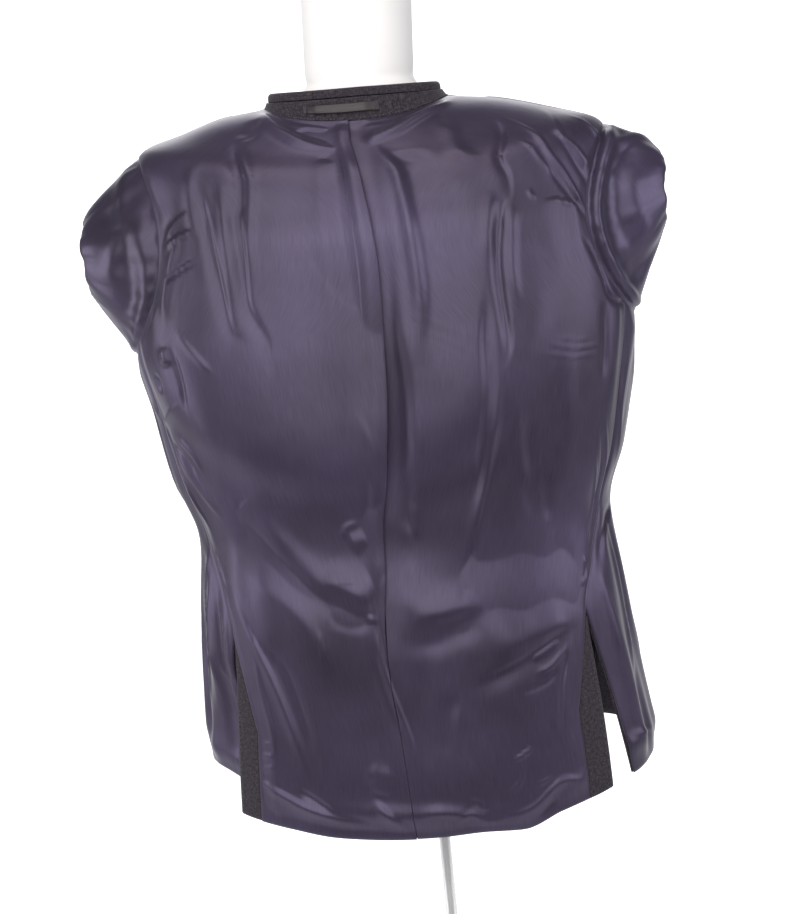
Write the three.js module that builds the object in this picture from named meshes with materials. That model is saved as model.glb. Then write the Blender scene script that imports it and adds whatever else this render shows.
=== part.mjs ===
// A sport coat worn inside out by a limbless dress form on a rod stand.
// Millimetres, +Z up, origin on the floor under the rod. The back faces +Y and
// the wearer's left is +X. The satin lining faces out and the wool faces in.
// The sleeves are pushed back in through the armholes and hang inside the body.

import * as THREE from 'three';

// Driving sizes
const woolWall = 1.6;
const liningWall = 1.0;
const facingWall = 1.2;
const sleeveWall = 2.4;
const liningLift = 1.3;
const liningEase = 3.2;
const seamHalfGap = 0.075;
const squareness = 0.88;
const shoulderTilt = { left: 2, right: 8 };
const tiltSpan = 236;
const wornShift = 9;
const hemLevel = 716;
const ventTop = 932;
const neckLevel = 1606;
const facingLevel = 1580;
const armhole = { angle: 90, level: 1329, reach: 34, rise: 99 };
const sideSeamReach = 18.5;
const cuffHeight = 852;
const rodRadius = 6.5;
const baseRadius = 150;
const baseHeight = 8;

const colours = {
  wool: { color: 0x2b272c, roughness: 0.95, metalness: 0 },
  lining: { color: 0x5c5468, roughness: 0.42, metalness: 0 },
  loop: { color: 0x3a3438, roughness: 0.5, metalness: 0 },
  jersey: { color: 0xeceae8, roughness: 0.85, metalness: 0 },
  chrome: { color: 0xc9cbce, roughness: 0.2, metalness: 1 },
  horn: { color: 0x2a2320, roughness: 0.35, metalness: 0 },
};

// Each ring of the body runs round it at one level. The level is a height up to
// the armhole, and above it the running distance over the shoulder.
const bodyRings = table('level side back front half lean deepBack deepFront', [
  [716, 716, 716, 716, 243, -5, 130, 128],
  [780, 780, 780, 780, 238, -4, 130, 128],
  [880, 880, 880, 880, 228, -2, 127, 125],
  [950, 950, 950, 950, 221, 0, 124, 122],
  [1030, 1030, 1030, 1030, 214, 1, 114, 112],
  [1090, 1090, 1090, 1090, 232, 2, 114, 112],
  [1160, 1160, 1160, 1160, 246, 2, 117, 112],
  [1246, 1246, 1246, 1246, 259, 4, 119, 112],
  [1330, 1330, 1328, 1326, 252, 2, 118, 104],
  [1390, 1388, 1368, 1360, 243, 0, 108, 88],
  [1428, 1426, 1392, 1384, 235, 0, 98, 74],
  [1478, 1442, 1410, 1402, 189, 2, 86, 66],
  [1528, 1456, 1427, 1425, 138, 8, 74, 62],
  [1578, 1462, 1443, 1447, 92, 10, 64, 58],
  [1606, 1470, 1468, 1456, 87, 11, 60, 55],
]);

// Edges of the panels, in degrees from the centre back at each level
const backEdges = table('level left right', [
  [716, 55, 50],
  [830, 54.4, 51.2],
  [932, 53.5, 51.5],
  [985, 60, 60],
  [1043, 70, 70],
  [1150, 71, 71],
  [1246, 71.5, 71.5],
]);
const sideEdges = table('level left right', [
  [716, 52, 60.7],
  [830, 53.6, 56.4],
  [880, 55.2, 54],
  [932, 53.5, 51.5],
]);
const frontSeam = table('level angle', [
  [716, 114],
  [932, 112],
  [1246, 108.5],
]);

// Distance of the front edge and of the facing's inner edge from the middle
const frontEdge = table('level edge facing', [
  [716, 74, 160],
  [745, 50, 140],
  [790, 39, 126],
  [1090, 38, 122],
  [1250, 56, 131],
  [1330, 66, 134],
  [1428, 76, 134],
  [1532, 82, 131],
  [1578, 83, 92],
  [1606, 85.6, 87],
]);

// Heights of the hem, on the back panel and on the sides and fronts
const backHem = table('angle height', [
  [-50, 742], [-31, 729], [-20, 716], [-10, 718], [0, 716], [20, 720], [34, 728], [55, 737],
]);
const sideHem = table('angle height', [
  [-165, 744], [-120, 760], [-75, 752], [-60, 747], [52, 770], [75, 781], [125, 771], [165, 746],
]);

// Folds of the lining: a line from one angle and level to another, half as wide
// as the width at each side, standing proud or sunk by the depth.
const folds = table('angle level toAngle toLevel width depth', [
  [56, 1558, 14, 1532, 12, 4],
  [14, 1532, 1, 1500, 12, 4],
  [-46, 1566, -10, 1530, 12, 4],
  [30, 1540, -30, 1520, 16, -2.2],
  [46, 1440, 36, 1346, 14, -3],
  [36, 1346, 32, 1290, 14, -3],
  [30, 1440, 27, 1334, 13, -3],
  [27, 1334, 26, 1250, 13, -2.6],
  [39, 1450, 31, 1300, 14, 3.5],
  [-49, 1494, -31, 1416, 10, -3.4],
  [-31, 1416, -28, 1330, 11, -3.4],
  [-28, 1330, -25, 1200, 15, -2.4],
  [-22, 1262, -20, 1092, 15, 3],
  [-43, 1418, -50, 1344, 10, 3.4],
  [-50, 1344, -72, 1288, 10, 3],
  [-48, 1400, -60, 1338, 8, -2.6],
  [-60, 1338, -84, 1290, 8, -2.6],
  [20, 1150, 73, 1252, 30, 2.6],
  [-3, 1130, -34, 1290, 26, 2.4],
  [6, 1005, 24, 984, 16, 3],
  [-3, 964, -28, 952, 18, 3],
  [12, 930, 9, 770, 14, -2.6],
  [30, 1080, 26, 800, 18, 2.4],
  [-14, 930, -16, 780, 16, -2.4],
  [-34, 1060, -30, 820, 18, 2.2],
  [64, 930, 70, 1120, 11, 3],
  [74, 900, 78, 1060, 10, -2.6],
  [84, 800, 86, 1000, 11, 3],
  [-66, 820, -70, 1080, 11, 3],
  [-78, 860, -80, 1060, 10, -2.6],
  [-90, 790, -90, 1000, 11, 2.8],
  [126, 900, 122, 1180, 14, 2.6],
  [140, 1150, 112, 1230, 14, -2.4],
  [-126, 900, -122, 1180, 14, 2.6],
  [-140, 1150, -112, 1230, 14, -2.4],
]);

// The pleat at the centre back: where its folded edge lies and how far the other
// panel passes under it
const pleat = table('level angle under', [
  [700, 2.5, -0.5],
  [834, 3.6, -0.5],
  [905, 4.6, -0.5],
  [950, 4.2, -0.4],
  [985, 3.4, 6],
  [1040, 3, 13],
  [1092, 1, 15],
  [1282, -1, 16],
  [1400, 0.5, 16],
  [1512, 2, 15],
  [1578, 2, 15],
]);

// The dress form below the coat's shoulders
const formRings = table('side back front half lean deepBack deepFront', [
  [800, 800, 800, 138, 0, 92, 78],
  [806, 806, 806, 146, 0, 99, 85],
  [900, 900, 900, 156, 1, 108, 92],
  [980, 980, 980, 148, 2, 98, 90],
  [1050, 1050, 1050, 134, 3, 86, 84],
  [1150, 1150, 1150, 144, 4, 92, 92],
  [1250, 1250, 1250, 157, 4, 100, 96],
  [1330, 1330, 1328, 167, 3, 100, 90],
  [1385, 1372, 1366, 175, 2, 92, 76],
  [1418, 1390, 1382, 182, 2, 84, 66],
]);
const formShoulders = table('level back front', [
  [1480, 2.3, 6.5],
  [1496, 2.3, 6.5],
  [1528, 3.4, 7],
  [1544, 6.5, 8],
  [1562, 7.5, 8],
  [facingLevel, 8, 8],
  [1600, 8, 8],
]);
const formNeck = table('height radius shiftX shiftY', [
  [1482, 57, 5, -7],
  [1500, 56, 4, -6],
  [1535, 56, 2, -5],
  [1572, 56, 0, -4],
  [1583, 52, 0, -4],
  [1589, 40, 0, -4],
]);

// Sections of the sleeve inside the armhole. The first ones turn out of the
// armhole into a soft puff, and the rest run in through it and hang down.
const puffSections = table('share bulge', [
  [0.1, 5],
  [0.3, 9],
  [0.52, 12],
  [0.74, 12],
  [0.92, 7],
]);
const sleeveSections = table('x z turn thick wide', [
  [303, 1327, 0, 34, 38],
  [301, 1327, 0, 28, 33],
  [292, 1328, 0, 25, 31],
  [268, 1327, 0, 25, 34],
  [242, 1321, 8, 24, 42],
  [218, 1306, 38, 20, 52],
  [201, 1280, 68, 15, 62],
  [192, 1245, 86, 12, 70],
  [188, 1195, 90, 11, 75],
  [186, 1110, 90, 11, 75],
  [183, 1020, 90, 10, 72],
  [183, 930, 90, 10, 69],
  [185, cuffHeight, 90, 11, 66],
]);
const sleeveCrescent = 0.0042;
const puffShift = { left: { out: -4, up: 4 }, right: { out: -9, up: 20 } };

function table(names, rows) {
  const columns = names.split(' ');
  return rows.map((row) => Object.fromEntries(columns.map((name, i) => [name, row[i]])));
}

const radians = THREE.MathUtils.degToRad;
const degrees = THREE.MathUtils.radToDeg;
const mix = THREE.MathUtils.lerp;
// Rises from 0 at the first place to 1 at the second, whichever is greater
function smooth(x, start, finish) {
  const t = THREE.MathUtils.clamp((x - start) / (finish - start), 0, 1);
  return t * t * (3 - 2 * t);
}
const softPower = (x) => Math.sign(x) * Math.abs(x) ** squareness;

// A smooth curve through one column of a table, with no overshoot
function curve(rows, xName, yName) {
  const xs = rows.map((row) => row[xName]);
  const ys = rows.map((row) => row[yName]);
  const last = xs.length - 1;
  const rises = xs.slice(1).map((x, i) => (ys[i + 1] - ys[i]) / (x - xs[i]));
  const slopes = xs.map((_, i) => {
    if (i === 0) return rises[0];
    if (i === last) return rises[last - 1];
    const product = rises[i - 1] * rises[i];
    return product <= 0 ? 0 : (2 * product) / (rises[i - 1] + rises[i]);
  });
  return (value) => {
    const x = THREE.MathUtils.clamp(value, xs[0], xs[last]);
    let k = 0;
    while (k < last - 1 && x > xs[k + 1]) k += 1;
    const span = xs[k + 1] - xs[k];
    const t = (x - xs[k]) / span;
    const s = 1 - t;
    const ends = (1 + 2 * t) * s * s * ys[k] + (1 + 2 * s) * t * t * ys[k + 1];
    return ends + t * s * span * (s * slopes[k] - t * slopes[k + 1]);
  };
}

const ringCurves = Object.fromEntries(
  Object.keys(bodyRings[0]).map((name) => [name, curve(bodyRings, 'level', name)]),
);
const bothSides = (rows) => (
  { left: curve(rows, 'level', 'left'), right: curve(rows, 'level', 'right') }
);
const backEdgeAt = bothSides(backEdges);
const sideEdgeAt = bothSides(sideEdges);
const frontSeamAt = curve(frontSeam, 'level', 'angle');
const edgeDistanceAt = curve(frontEdge, 'level', 'edge');
const facingDistanceAt = curve(frontEdge, 'level', 'facing');
const backHemAt = curve(backHem, 'angle', 'height');
const sideHemAt = curve(sideHem, 'angle', 'height');
const pleatAngleAt = curve(pleat, 'level', 'angle');
const pleatUnderAt = curve(pleat, 'level', 'under');

// A point of a ring: along it by the angle, 0 at the centre back, 90 at the left
function ringPoint(ring, angle) {
  const across = Math.sin(radians(angle));
  const along = Math.cos(radians(angle));
  const end = along > 0 ? ring.back : ring.front;
  const deep = along > 0 ? ring.deepBack : ring.deepFront;
  const x = ring.lean + ring.half * softPower(across);
  return new THREE.Vector3(x, deep * softPower(along), ring.side + (end - ring.side) * along * along);
}

// The coat hangs a little askew: one shoulder drops and the other rises
function tiltAt(x) {
  return ((x > 0 ? shoulderTilt.left : shoulderTilt.right) * x) / tiltSpan;
}

function bodyPoint(angle, level) {
  const ring = Object.fromEntries(Object.entries(ringCurves).map(([name, at]) => [name, at(level)]));
  const point = ringPoint(ring, angle);
  point.z += tiltAt(point.x) * smooth(level, 1300, armhole.level + armhole.rise);
  return point;
}

// The wool's outer face is the body surface, and all other layers are moved
// out or in from it along its normal.
function bodyAt(angle, level, out) {
  const turn = bodyPoint(angle + 0.4, level).sub(bodyPoint(angle - 0.4, level));
  const rise = bodyPoint(angle, Math.min(level + 2, neckLevel)).sub(bodyPoint(angle, level - 2));
  const normal = rise.cross(turn).normalize();
  return bodyPoint(angle, level).addScaledVector(normal, out);
}

const angleAtDistance = (level, distance) => {
  const share = Math.min(distance / ringCurves.half(level), 1);
  return 180 - degrees(Math.asin(share ** (1 / squareness)));
};
const frontEdgeAngle = (level) => angleAtDistance(level, edgeDistanceAt(level));
// The facing's inner edge runs up to the shoulder seam, then along it
const facingMeetsShoulder = { from: 1528, to: 1544 };
function facingEdgeAngle(level) {
  const { from, to } = facingMeetsShoulder;
  const below = angleAtDistance(Math.min(level, from), facingDistanceAt(Math.min(level, from)));
  return mix(below, 90, THREE.MathUtils.clamp((level - from) / (to - from), 0, 1));
}
const degreesFor = (length, level) => degrees(length / ringCurves.half(level));

// Degrees that a length along the ring covers beside an angle
function degreesBeside(length, angle, level) {
  return length / bodyPoint(angle + 0.5, level).distanceTo(bodyPoint(angle - 0.5, level));
}

// Half the armhole's width in degrees at a level, 0 outside it
function armholeReach(level) {
  const share = (level - armhole.level) / armhole.rise;
  return armhole.reach * Math.sqrt(Math.max(0, 1 - share * share));
}
const cornerLevel = armhole.level
  - armhole.rise * Math.sqrt(1 - (sideSeamReach / armhole.reach) ** 2);

// Rows that all panels share, so that layers keep their distance: from the hem
// to the vent's top, up to the armhole's corner, round the armhole and over the
// shoulder. A row below the vent's top gives its share of the way up.
const rowCounts = { low: 5, waist: 7, arm: 7 };
const shoulderLevels = [armhole.level + armhole.rise, 1462, 1496, 1528, 1544, 1562, facingLevel];

function sharedRows() {
  const start = Math.asin((cornerLevel - armhole.level) / armhole.rise);
  const count = (number, row) => Array.from({ length: number }, (_, i) => row(i / number));
  return [
    ...count(rowCounts.low, (share) => ({ low: share })),
    ...count(rowCounts.waist, (share) => ({ level: mix(ventTop, cornerLevel, share) })),
    ...count(rowCounts.arm, (share) => (
      { level: armhole.level + armhole.rise * Math.sin(mix(start, Math.PI / 2, share)) }
    )),
    ...shoulderLevels.map((level) => ({ level })),
    { level: neckLevel },
  ];
}

const allRows = sharedRows();
const rowsBetween = (low, high) => allRows.filter((row) => row.level >= low && row.level <= high);
const rowsUpTo = (high) => allRows.filter((row) => row.level === undefined || row.level <= high);

// A closed solid from two faces of a wall, each a grid of rows of points. A
// round wall closes on itself along each row.
function wallGeometry(outer, inner, round = false) {
  const rowCount = outer.length;
  const width = outer[0].length;
  const positions = [];
  for (const face of [outer, inner]) {
    for (const row of face) for (const point of row) positions.push(point.x, point.y, point.z);
  }
  const back = rowCount * width;
  const at = (i, j) => i * width + (j % width);
  const index = [];
  const quad = (a, b, c, d) => index.push(a, b, c, a, c, d);
  const steps = round ? width : width - 1;
  for (let i = 0; i < rowCount - 1; i += 1) {
    for (let j = 0; j < steps; j += 1) {
      const [a, b, c, d] = [at(i, j), at(i + 1, j), at(i + 1, j + 1), at(i, j + 1)];
      quad(a, b, c, d);
      quad(back + a, back + d, back + c, back + b);
    }
  }
  for (let j = 0; j < steps; j += 1) {
    const [a, d] = [at(0, j), at(0, j + 1)];
    const [b, c] = [at(rowCount - 1, j), at(rowCount - 1, j + 1)];
    quad(a, d, back + d, back + a);
    quad(b, back + b, back + c, c);
  }
  if (!round) {
    for (let i = 0; i < rowCount - 1; i += 1) {
      const [a, b] = [at(i, 0), at(i + 1, 0)];
      const [d, c] = [at(i, width - 1), at(i + 1, width - 1)];
      quad(a, back + a, back + b, b);
      quad(d, c, back + c, back + d);
    }
  }
  return indexedGeometry(positions, index);
}

function indexedGeometry(positions, index) {
  const geometry = new THREE.BufferGeometry();
  geometry.setAttribute('position', new THREE.Float32BufferAttribute(positions, 3));
  geometry.setIndex(index);
  geometry.computeVertexNormals();
  return geometry;
}

function named(name, geometry, look) {
  const mesh = new THREE.Mesh(geometry, new THREE.MeshStandardMaterial(colours[look]));
  mesh.name = name;
  return mesh;
}

// One cloth panel on the body. Its rows run between two edges in degrees, and
// out() gives how far its outer face stands off the body surface.
function panel({ name, look, wall, rows, columns, hem, from, to, top, out }) {
  const shares = typeof columns === 'number'
    ? Array.from({ length: columns + 1 }, (_, i) => i / columns) : columns;
  const outer = [];
  const inner = [];
  for (const row of rows) {
    const nominal = row.level ?? mix(hemLevel, ventTop, row.low);
    const outerRow = [];
    const innerRow = [];
    for (const share of shares) {
      const angle = mix(from(nominal), to(nominal), share);
      let level = row.level ?? mix(hem(angle), ventTop, row.low);
      if (top && level > ventTop) {
        const lift = (top(share) - ventTop) / (cornerLevel - ventTop);
        level = ventTop + (level - ventTop) * lift;
      }
      const off = out(angle, level, share);
      outerRow.push(bodyAt(angle, level, off));
      innerRow.push(bodyAt(angle, level, off - wall));
    }
    outer.push(outerRow);
    inner.push(innerRow);
  }
  return named(name, wallGeometry(outer, inner), look);
}

// Millimetres on the body from a place to a fold's line, and its share along it
function distanceToFold(fold, angle, level) {
  const scale = radians(1) * ringCurves.half(level);
  const lineX = (fold.toAngle - fold.angle) * scale;
  const lineY = fold.toLevel - fold.level;
  const x = (angle - fold.angle) * scale;
  const y = level - fold.level;
  const along = THREE.MathUtils.clamp((x * lineX + y * lineY) / (lineX ** 2 + lineY ** 2), 0, 1);
  return { distance: Math.hypot(x - along * lineX, y - along * lineY), along };
}

function foldHeight(angle, level) {
  let height = 0;
  for (const fold of folds) {
    const { distance, along } = distanceToFold(fold, angle, level);
    const fade = Math.min(1, 4 * along + 0.4, 4 * (1 - along) + 0.4);
    height += fold.depth * fade * Math.exp(-((distance / fold.width) ** 2));
  }
  return height;
}

// How far the lining's outer face stands off: lowest at its seams, eased and
// folded between them, with a soft roll above the hem
const hemRoll = { height: 3.2, above: 24, width: 13 };
const tipRise = 0.6;

function liningOut(angle, level, seamDistance, hemDistance) {
  const free = smooth(seamDistance, 0, 26) * smooth(hemDistance, -10, 40);
  const eased = Math.max(0, liningEase + foldHeight(angle, level)) * free;
  const beside = (hemDistance - hemRoll.above) / hemRoll.width;
  const roll = hemRoll.height * Math.exp(-(beside ** 2)) * smooth(seamDistance, -4, 14);
  const tip = tipRise * smooth(level, 1370, 1415) * smooth(level, 1490, 1440);
  return liningLift + liningWall + tip + eased + roll;
}

const sides = [
  { side: 'left', sign: 1 },
  { side: 'right', sign: -1 },
];

// Turns a pair of edges, given as degrees from the centre back, to one side
function spanOn(sign, inner, outer) {
  const near = (level) => sign * (inner(level) + seamHalfGap);
  const far = (level) => sign * (outer(level) - seamHalfGap);
  return sign > 0 ? { from: near, to: far } : { from: far, to: near };
}

function backEdge(side) {
  return (level) => {
    if (level >= cornerLevel) return 90 - armholeReach(level);
    return backEdgeAt[side](level);
  };
}

function backWool() {
  return panel({
    name: 'back_wool', look: 'wool', wall: woolWall, columns: 12, hem: backHemAt, rows: allRows,
    from: (level) => seamHalfGap - backEdge('right')(level),
    to: (level) => backEdge('left')(level) - seamHalfGap,
    out: () => 0,
  });
}

// The strip of turned-in wool along each vent of the back panel, which runs to
// nothing at the vent's top
const facingOut = liningLift + facingWall;
const ventStrip = { width: 28, rise: 110, top: ventTop - 6 };
const ventStripWidth = (level) => (
  ventStrip.width * THREE.MathUtils.clamp((ventTop - level) / ventStrip.rise, 0, 1)
);

// Degrees from the centre back to the strip's inner edge
function ventStripInner({ side, sign }, level) {
  const edge = backEdge(side)(level);
  return edge - degreesBeside(ventStripWidth(level), sign * edge, level);
}

function ventFacing({ side, sign }) {
  const edge = backEdge(side);
  const inner = (level) => ventStripInner({ side, sign }, level);
  const rows = [...allRows.filter((row) => row.level === undefined), { level: ventStrip.top }];
  return panel({
    name: `vent_facing_${side}`, look: 'wool', wall: facingWall, columns: 2, rows, hem: backHemAt,
    ...spanOn(sign, inner, edge),
    out: () => facingOut,
  });
}

// Outer edge of the back lining: the seam, or the vent strip's inner edge
const backLiningEdge = (where) => (level) => ventStripInner(where, level) - seamHalfGap;

const neckSeamGap = 0.8;
const backLiningRows = [...rowsUpTo(facingLevel - 1), { level: facingLevel - neckSeamGap }];
const pleatShares = [0, 0.035, 0.09, 0.16, 0.25, 0.35, 0.46, 0.57, 0.68, 0.79, 0.9, 1];
// The pleat's folded edge stands up over the other panel, which lies flat under it
const overlap = { least: 0.6, height: 3.6, width: 30, flatFrom: 26, flatTo: 6 };

function backLining({ side, sign }) {
  const edge = backLiningEdge({ side, sign });
  const overPleat = (level) => pleatAngleAt(level);
  const underPleat = (level) => pleatAngleAt(level) + degreesFor(pleatUnderAt(level), level);
  const span = sign > 0
    ? { from: overPleat, to: (level) => edge(level) - seamHalfGap }
    : { from: (level) => seamHalfGap - edge(level), to: underPleat };
  const out = (angle, level) => {
    const seam = radians(edge(level) - Math.abs(angle)) * ringCurves.half(level);
    const topSeam = (facingLevel - level) * 1.2;
    const off = liningOut(angle, level, Math.min(seam, topSeam), level - backHemAt(angle));
    const beside = radians(angle - pleatAngleAt(level)) * ringCurves.half(level);
    if (sign > 0) {
      const closed = smooth(level, 960, 1010) * smooth(facingLevel - level, -30, 40);
      const raised = overlap.height * closed * smooth(overlap.width - beside, 0, overlap.width);
      return Math.max(off, liningLift + 2 * liningWall + overlap.least + raised);
    }
    const flattened = smooth(beside, -overlap.flatFrom, -overlap.flatTo) * smooth(level, 905, 960);
    return mix(off, liningLift + liningWall, flattened);
  };
  return panel({
    name: `back_lining_${side}`, look: 'lining', wall: liningWall, rows: backLiningRows, hem: backHemAt,
    columns: sign > 0 ? pleatShares : pleatShares.map((share) => 1 - share).reverse(),
    ...span, out,
  });
}

// The side panels swing clear of the back below the vents. The left one is
// tucked in behind the back panel, and the right one stands open.
const tuck = { depth: 9, above: 915, below: 840, front: 78, back: 58 };

function sideTuck(side, angle, level) {
  if (side === 'right') return 0;
  return -tuck.depth * smooth(level, tuck.above, tuck.below) * smooth(angle, tuck.front, tuck.back);
}

function sideEdge(side) {
  return (level) => (level < ventTop ? sideEdgeAt[side](level) : backEdge(side)(level));
}
// Level of the side panel's top edge, which runs under the armhole
const underarm = (share) => {
  const beside = (2 * share - 1) * sideSeamReach;
  return armhole.level - armhole.rise * Math.sqrt(1 - (beside / armhole.reach) ** 2);
};

function sideWool({ side, sign }) {
  return panel({
    name: `side_wool_${side}`, look: 'wool', wall: woolWall, columns: 5, hem: sideHemAt,
    top: underarm, rows: rowsUpTo(cornerLevel),
    ...spanOn(sign, sideEdge(side), frontSeamAt),
    out: (angle, level) => sideTuck(side, Math.abs(angle), level),
  });
}

function sideLining({ side, sign }) {
  return panel({
    name: `side_lining_${side}`, look: 'lining', wall: liningWall, columns: 7, hem: sideHemAt,
    top: underarm, rows: rowsUpTo(cornerLevel),
    ...spanOn(sign, sideEdge(side), frontSeamAt),
    out: (angle, level, share) => {
      const plain = Math.abs(angle);
      const nearest = Math.min(plain - sideEdge(side)(level), frontSeamAt(level) - plain);
      const seam = radians(nearest) * ringCurves.deepBack(level) * 1.6;
      const armEdge = underarm(share) - level;
      const off = liningOut(angle, level, Math.min(seam, armEdge), level - sideHemAt(angle));
      return off + sideTuck(side, plain, level);
    },
  });
}

const frontBackEdge = (level) => (level >= cornerLevel ? 90 + armholeReach(level) : frontSeamAt(level));

function frontWool({ side, sign }) {
  return panel({
    name: `front_wool_${side}`, look: 'wool', wall: woolWall, columns: 7, hem: sideHemAt, rows: allRows,
    ...spanOn(sign, frontBackEdge, frontEdgeAngle),
    out: () => 0,
  });
}

// Layers lie a little looser where the fronts bend sharply over the shoulder
const looseness = 1.9;
const shoulderLift = (level) => looseness * smooth(level, 1425, 1490) * smooth(level, 1602, 1570);

// The wool facing inside each front, from the front edge to the lining
function frontFacing({ side, sign }) {
  return panel({
    name: `front_facing_${side}`, look: 'wool', wall: facingWall, columns: 5, hem: sideHemAt,
    rows: allRows,
    ...spanOn(sign, facingEdgeAngle, frontEdgeAngle),
    out: (angle, level) => facingOut + shoulderLift(level),
  });
}

const frontLiningTop = 1540;

function frontLining({ side, sign }) {
  const facing = (level) => facingEdgeAngle(level) - 2 * seamHalfGap;
  return panel({
    name: `front_lining_${side}`, look: 'lining', wall: liningWall, columns: 7, hem: sideHemAt,
    rows: [...rowsUpTo(frontLiningTop), { level: frontLiningTop }],
    ...spanOn(sign, frontBackEdge, facing),
    out: (angle, level) => {
      const plain = Math.abs(angle);
      const nearest = Math.min(plain - frontBackEdge(level), facing(level) - plain);
      const seam = radians(nearest) * ringCurves.half(level);
      const topSeam = frontLiningTop - level;
      const off = liningOut(angle, level, Math.min(seam, topSeam), level - sideHemAt(angle));
      return off + shoulderLift(level);
    },
  });
}

// The lapels stay folded along the front edges, inside the coat
const lapel = table('level width', [
  [1150, 8],
  [1260, 40],
  [1400, 82],
  [1470, 78],
  [1528, 40],
  [1544, 34],
]);
const lapelWidthAt = curve(lapel, 'level', 'width');
const lapelWall = 2;
const foldedIn = -(woolWall + 1.1);
const shoulderClear = 1.4;

function lapelFold({ side, sign }) {
  const rows = rowsBetween(lapel[0].level, lapel[lapel.length - 1].level);
  const inner = (level) => Math.max(
    frontEdgeAngle(level) - degreesFor(lapelWidthAt(level), level) * 1.1,
    90 + shoulderClear,
  );
  const edge = (level) => frontEdgeAngle(level) - 4 * seamHalfGap;
  return panel({
    name: `lapel_${side}`, look: 'wool', wall: lapelWall, columns: 4, rows, hem: sideHemAt,
    ...spanOn(sign, inner, edge),
    out: () => foldedIn,
  });
}

// The collar rises from the neck seam, rolls over and lies folded down inside.
// Each row gives the rise over the neck seam or the level below it.
const collarEnd = 99;
const collarWall = 2;
const collarSection = table('rise level out', [
  [1.5, neckLevel, 0.4],
  [4.8, neckLevel, 0.4],
  [7.6, neckLevel, -0.2],
  [9, neckLevel, -2.1],
  [7.6, neckLevel, -4],
  [2, neckLevel, -4.8],
  [0, facingLevel, -4.8],
  [0, 1562, -4.6],
  [0, 1548, -4.4],
]);

function collarPoint(row, share) {
  const end = row.level === neckLevel ? collarEnd : frontEdgeAngle(row.level) - 1.5;
  const angle = mix(-end, end, share);
  const base = bodyAt(angle, row.level, row.level === neckLevel ? 0 : row.out);
  if (row.level < neckLevel) return base;
  const belowNeck = neckLevel - 6;
  const outward = bodyAt(angle, belowNeck, 1).sub(bodyAt(angle, belowNeck, 0)).setZ(0).normalize();
  return base.addScaledVector(outward, row.out).add(new THREE.Vector3(0, 0, row.rise));
}

function collar() {
  const count = 26;
  const middle = collarSection.map((row) => (
    Array.from({ length: count + 1 }, (_, j) => collarPoint(row, j / count))
  ));
  return named('collar', thickened(middle, collarWall / 2, -collarWall / 2), 'wool');
}

// A wall between two faces moved off a grid of points along the grid's normals
function thickened(grid, ahead, behind, round = false) {
  const last = grid.length - 1;
  const width = grid[0].length;
  const normalAt = (i, j) => {
    const [low, high] = [Math.max(i - 1, 0), Math.min(i + 1, last)];
    const left = round ? (j + width - 1) % width : Math.max(j - 1, 0);
    const right = round ? (j + 1) % width : Math.min(j + 1, width - 1);
    const rise = grid[high][j].clone().sub(grid[low][j]);
    const turn = grid[i][right].clone().sub(grid[i][left]);
    return rise.cross(turn).normalize();
  };
  const moved = (off) => grid.map((row, i) => (
    row.map((point, j) => point.clone().addScaledVector(normalAt(i, j), off))
  ));
  return wallGeometry(moved(ahead), moved(behind), round);
}

// The band of wool inside the back neck, between the shoulder seams
function neckFacing() {
  const rows = [{ level: facingLevel + neckSeamGap }, { level: neckLevel - 0.2 }];
  return panel({
    name: 'neck_facing', look: 'wool', wall: facingWall, columns: 18, rows, hem: backHemAt,
    from: () => seamHalfGap - 90,
    to: () => 90 - seamHalfGap,
    out: () => facingOut,
  });
}

// The hanger loop lies on the neck band, sewn down at its ends and free between
const loop = { from: -15, to: 28.5, low: 1590, high: 1600, sewn: 4.1, bow: 1.8, wall: 1 };

function hangerLoop() {
  const rows = Array.from({ length: 3 }, (_, i) => ({ level: mix(loop.low, loop.high, i / 2) }));
  return panel({
    name: 'hanger_loop', look: 'loop', wall: loop.wall, columns: 12, rows, hem: backHemAt,
    from: () => loop.from,
    to: () => loop.to,
    out: (_, level, share) => loop.sewn + loop.bow * smooth(Math.min(share, 1 - share), 0.06, 0.24),
  });
}

// A point round the armhole, moved in from its edge
function armholePoint(sign, turn, inset, out) {
  const reach = armhole.reach - degreesFor(inset * 1.3, armhole.level);
  const angle = armhole.angle - reach * Math.cos(turn);
  const level = armhole.level + (armhole.rise - inset) * Math.sin(turn);
  return bodyAt(sign * angle, level, out);
}

const sleeveAround = 16;

function sleeveRing({ side, sign }, section) {
  const lean = radians(section.turn);
  const inPuff = smooth(section.x, 225, 285);
  return Array.from({ length: sleeveAround }, (_, j) => {
    const turn = (j / sleeveAround) * 2 * Math.PI;
    const y = section.wide * Math.cos(turn);
    const across = section.thick * Math.sin(turn);
    const bend = smooth(section.turn, 0, 90) * sleeveCrescent * y * y;
    const x = section.x + puffShift[side].out * inPuff - Math.sin(lean) * across - bend;
    const z = section.z + puffShift[side].up * inPuff + Math.cos(lean) * across;
    return new THREE.Vector3(sign * x + ringCurves.lean(1300), y, z);
  });
}

function sleeve({ side, sign }) {
  const turns = Array.from({ length: sleeveAround }, (_, j) => (j / sleeveAround) * 2 * Math.PI);
  const seam = turns.map((turn) => armholePoint(sign, turn, 2.2, liningLift + liningWall));
  const lip = sleeveRing({ side, sign }, sleeveSections[0]);
  const puff = puffSections.map((row) => seam.map((point, j) => {
    const blended = point.clone().lerp(lip[j], row.share);
    blended.x += sign * row.bulge * (0.6 + 0.4 * Math.sin(turns[j]));
    return blended;
  }));
  const tube = sleeveSections.map((section) => sleeveRing({ side, sign }, section));
  const rings = [seam, ...puff, ...tube];
  const ordered = sign > 0 ? rings : rings.map((ring) => [ring[0], ...ring.slice(1).reverse()]);
  return named(`sleeve_${side}`, thickened(ordered, 0, -sleeveWall, true), 'lining');
}

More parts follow.
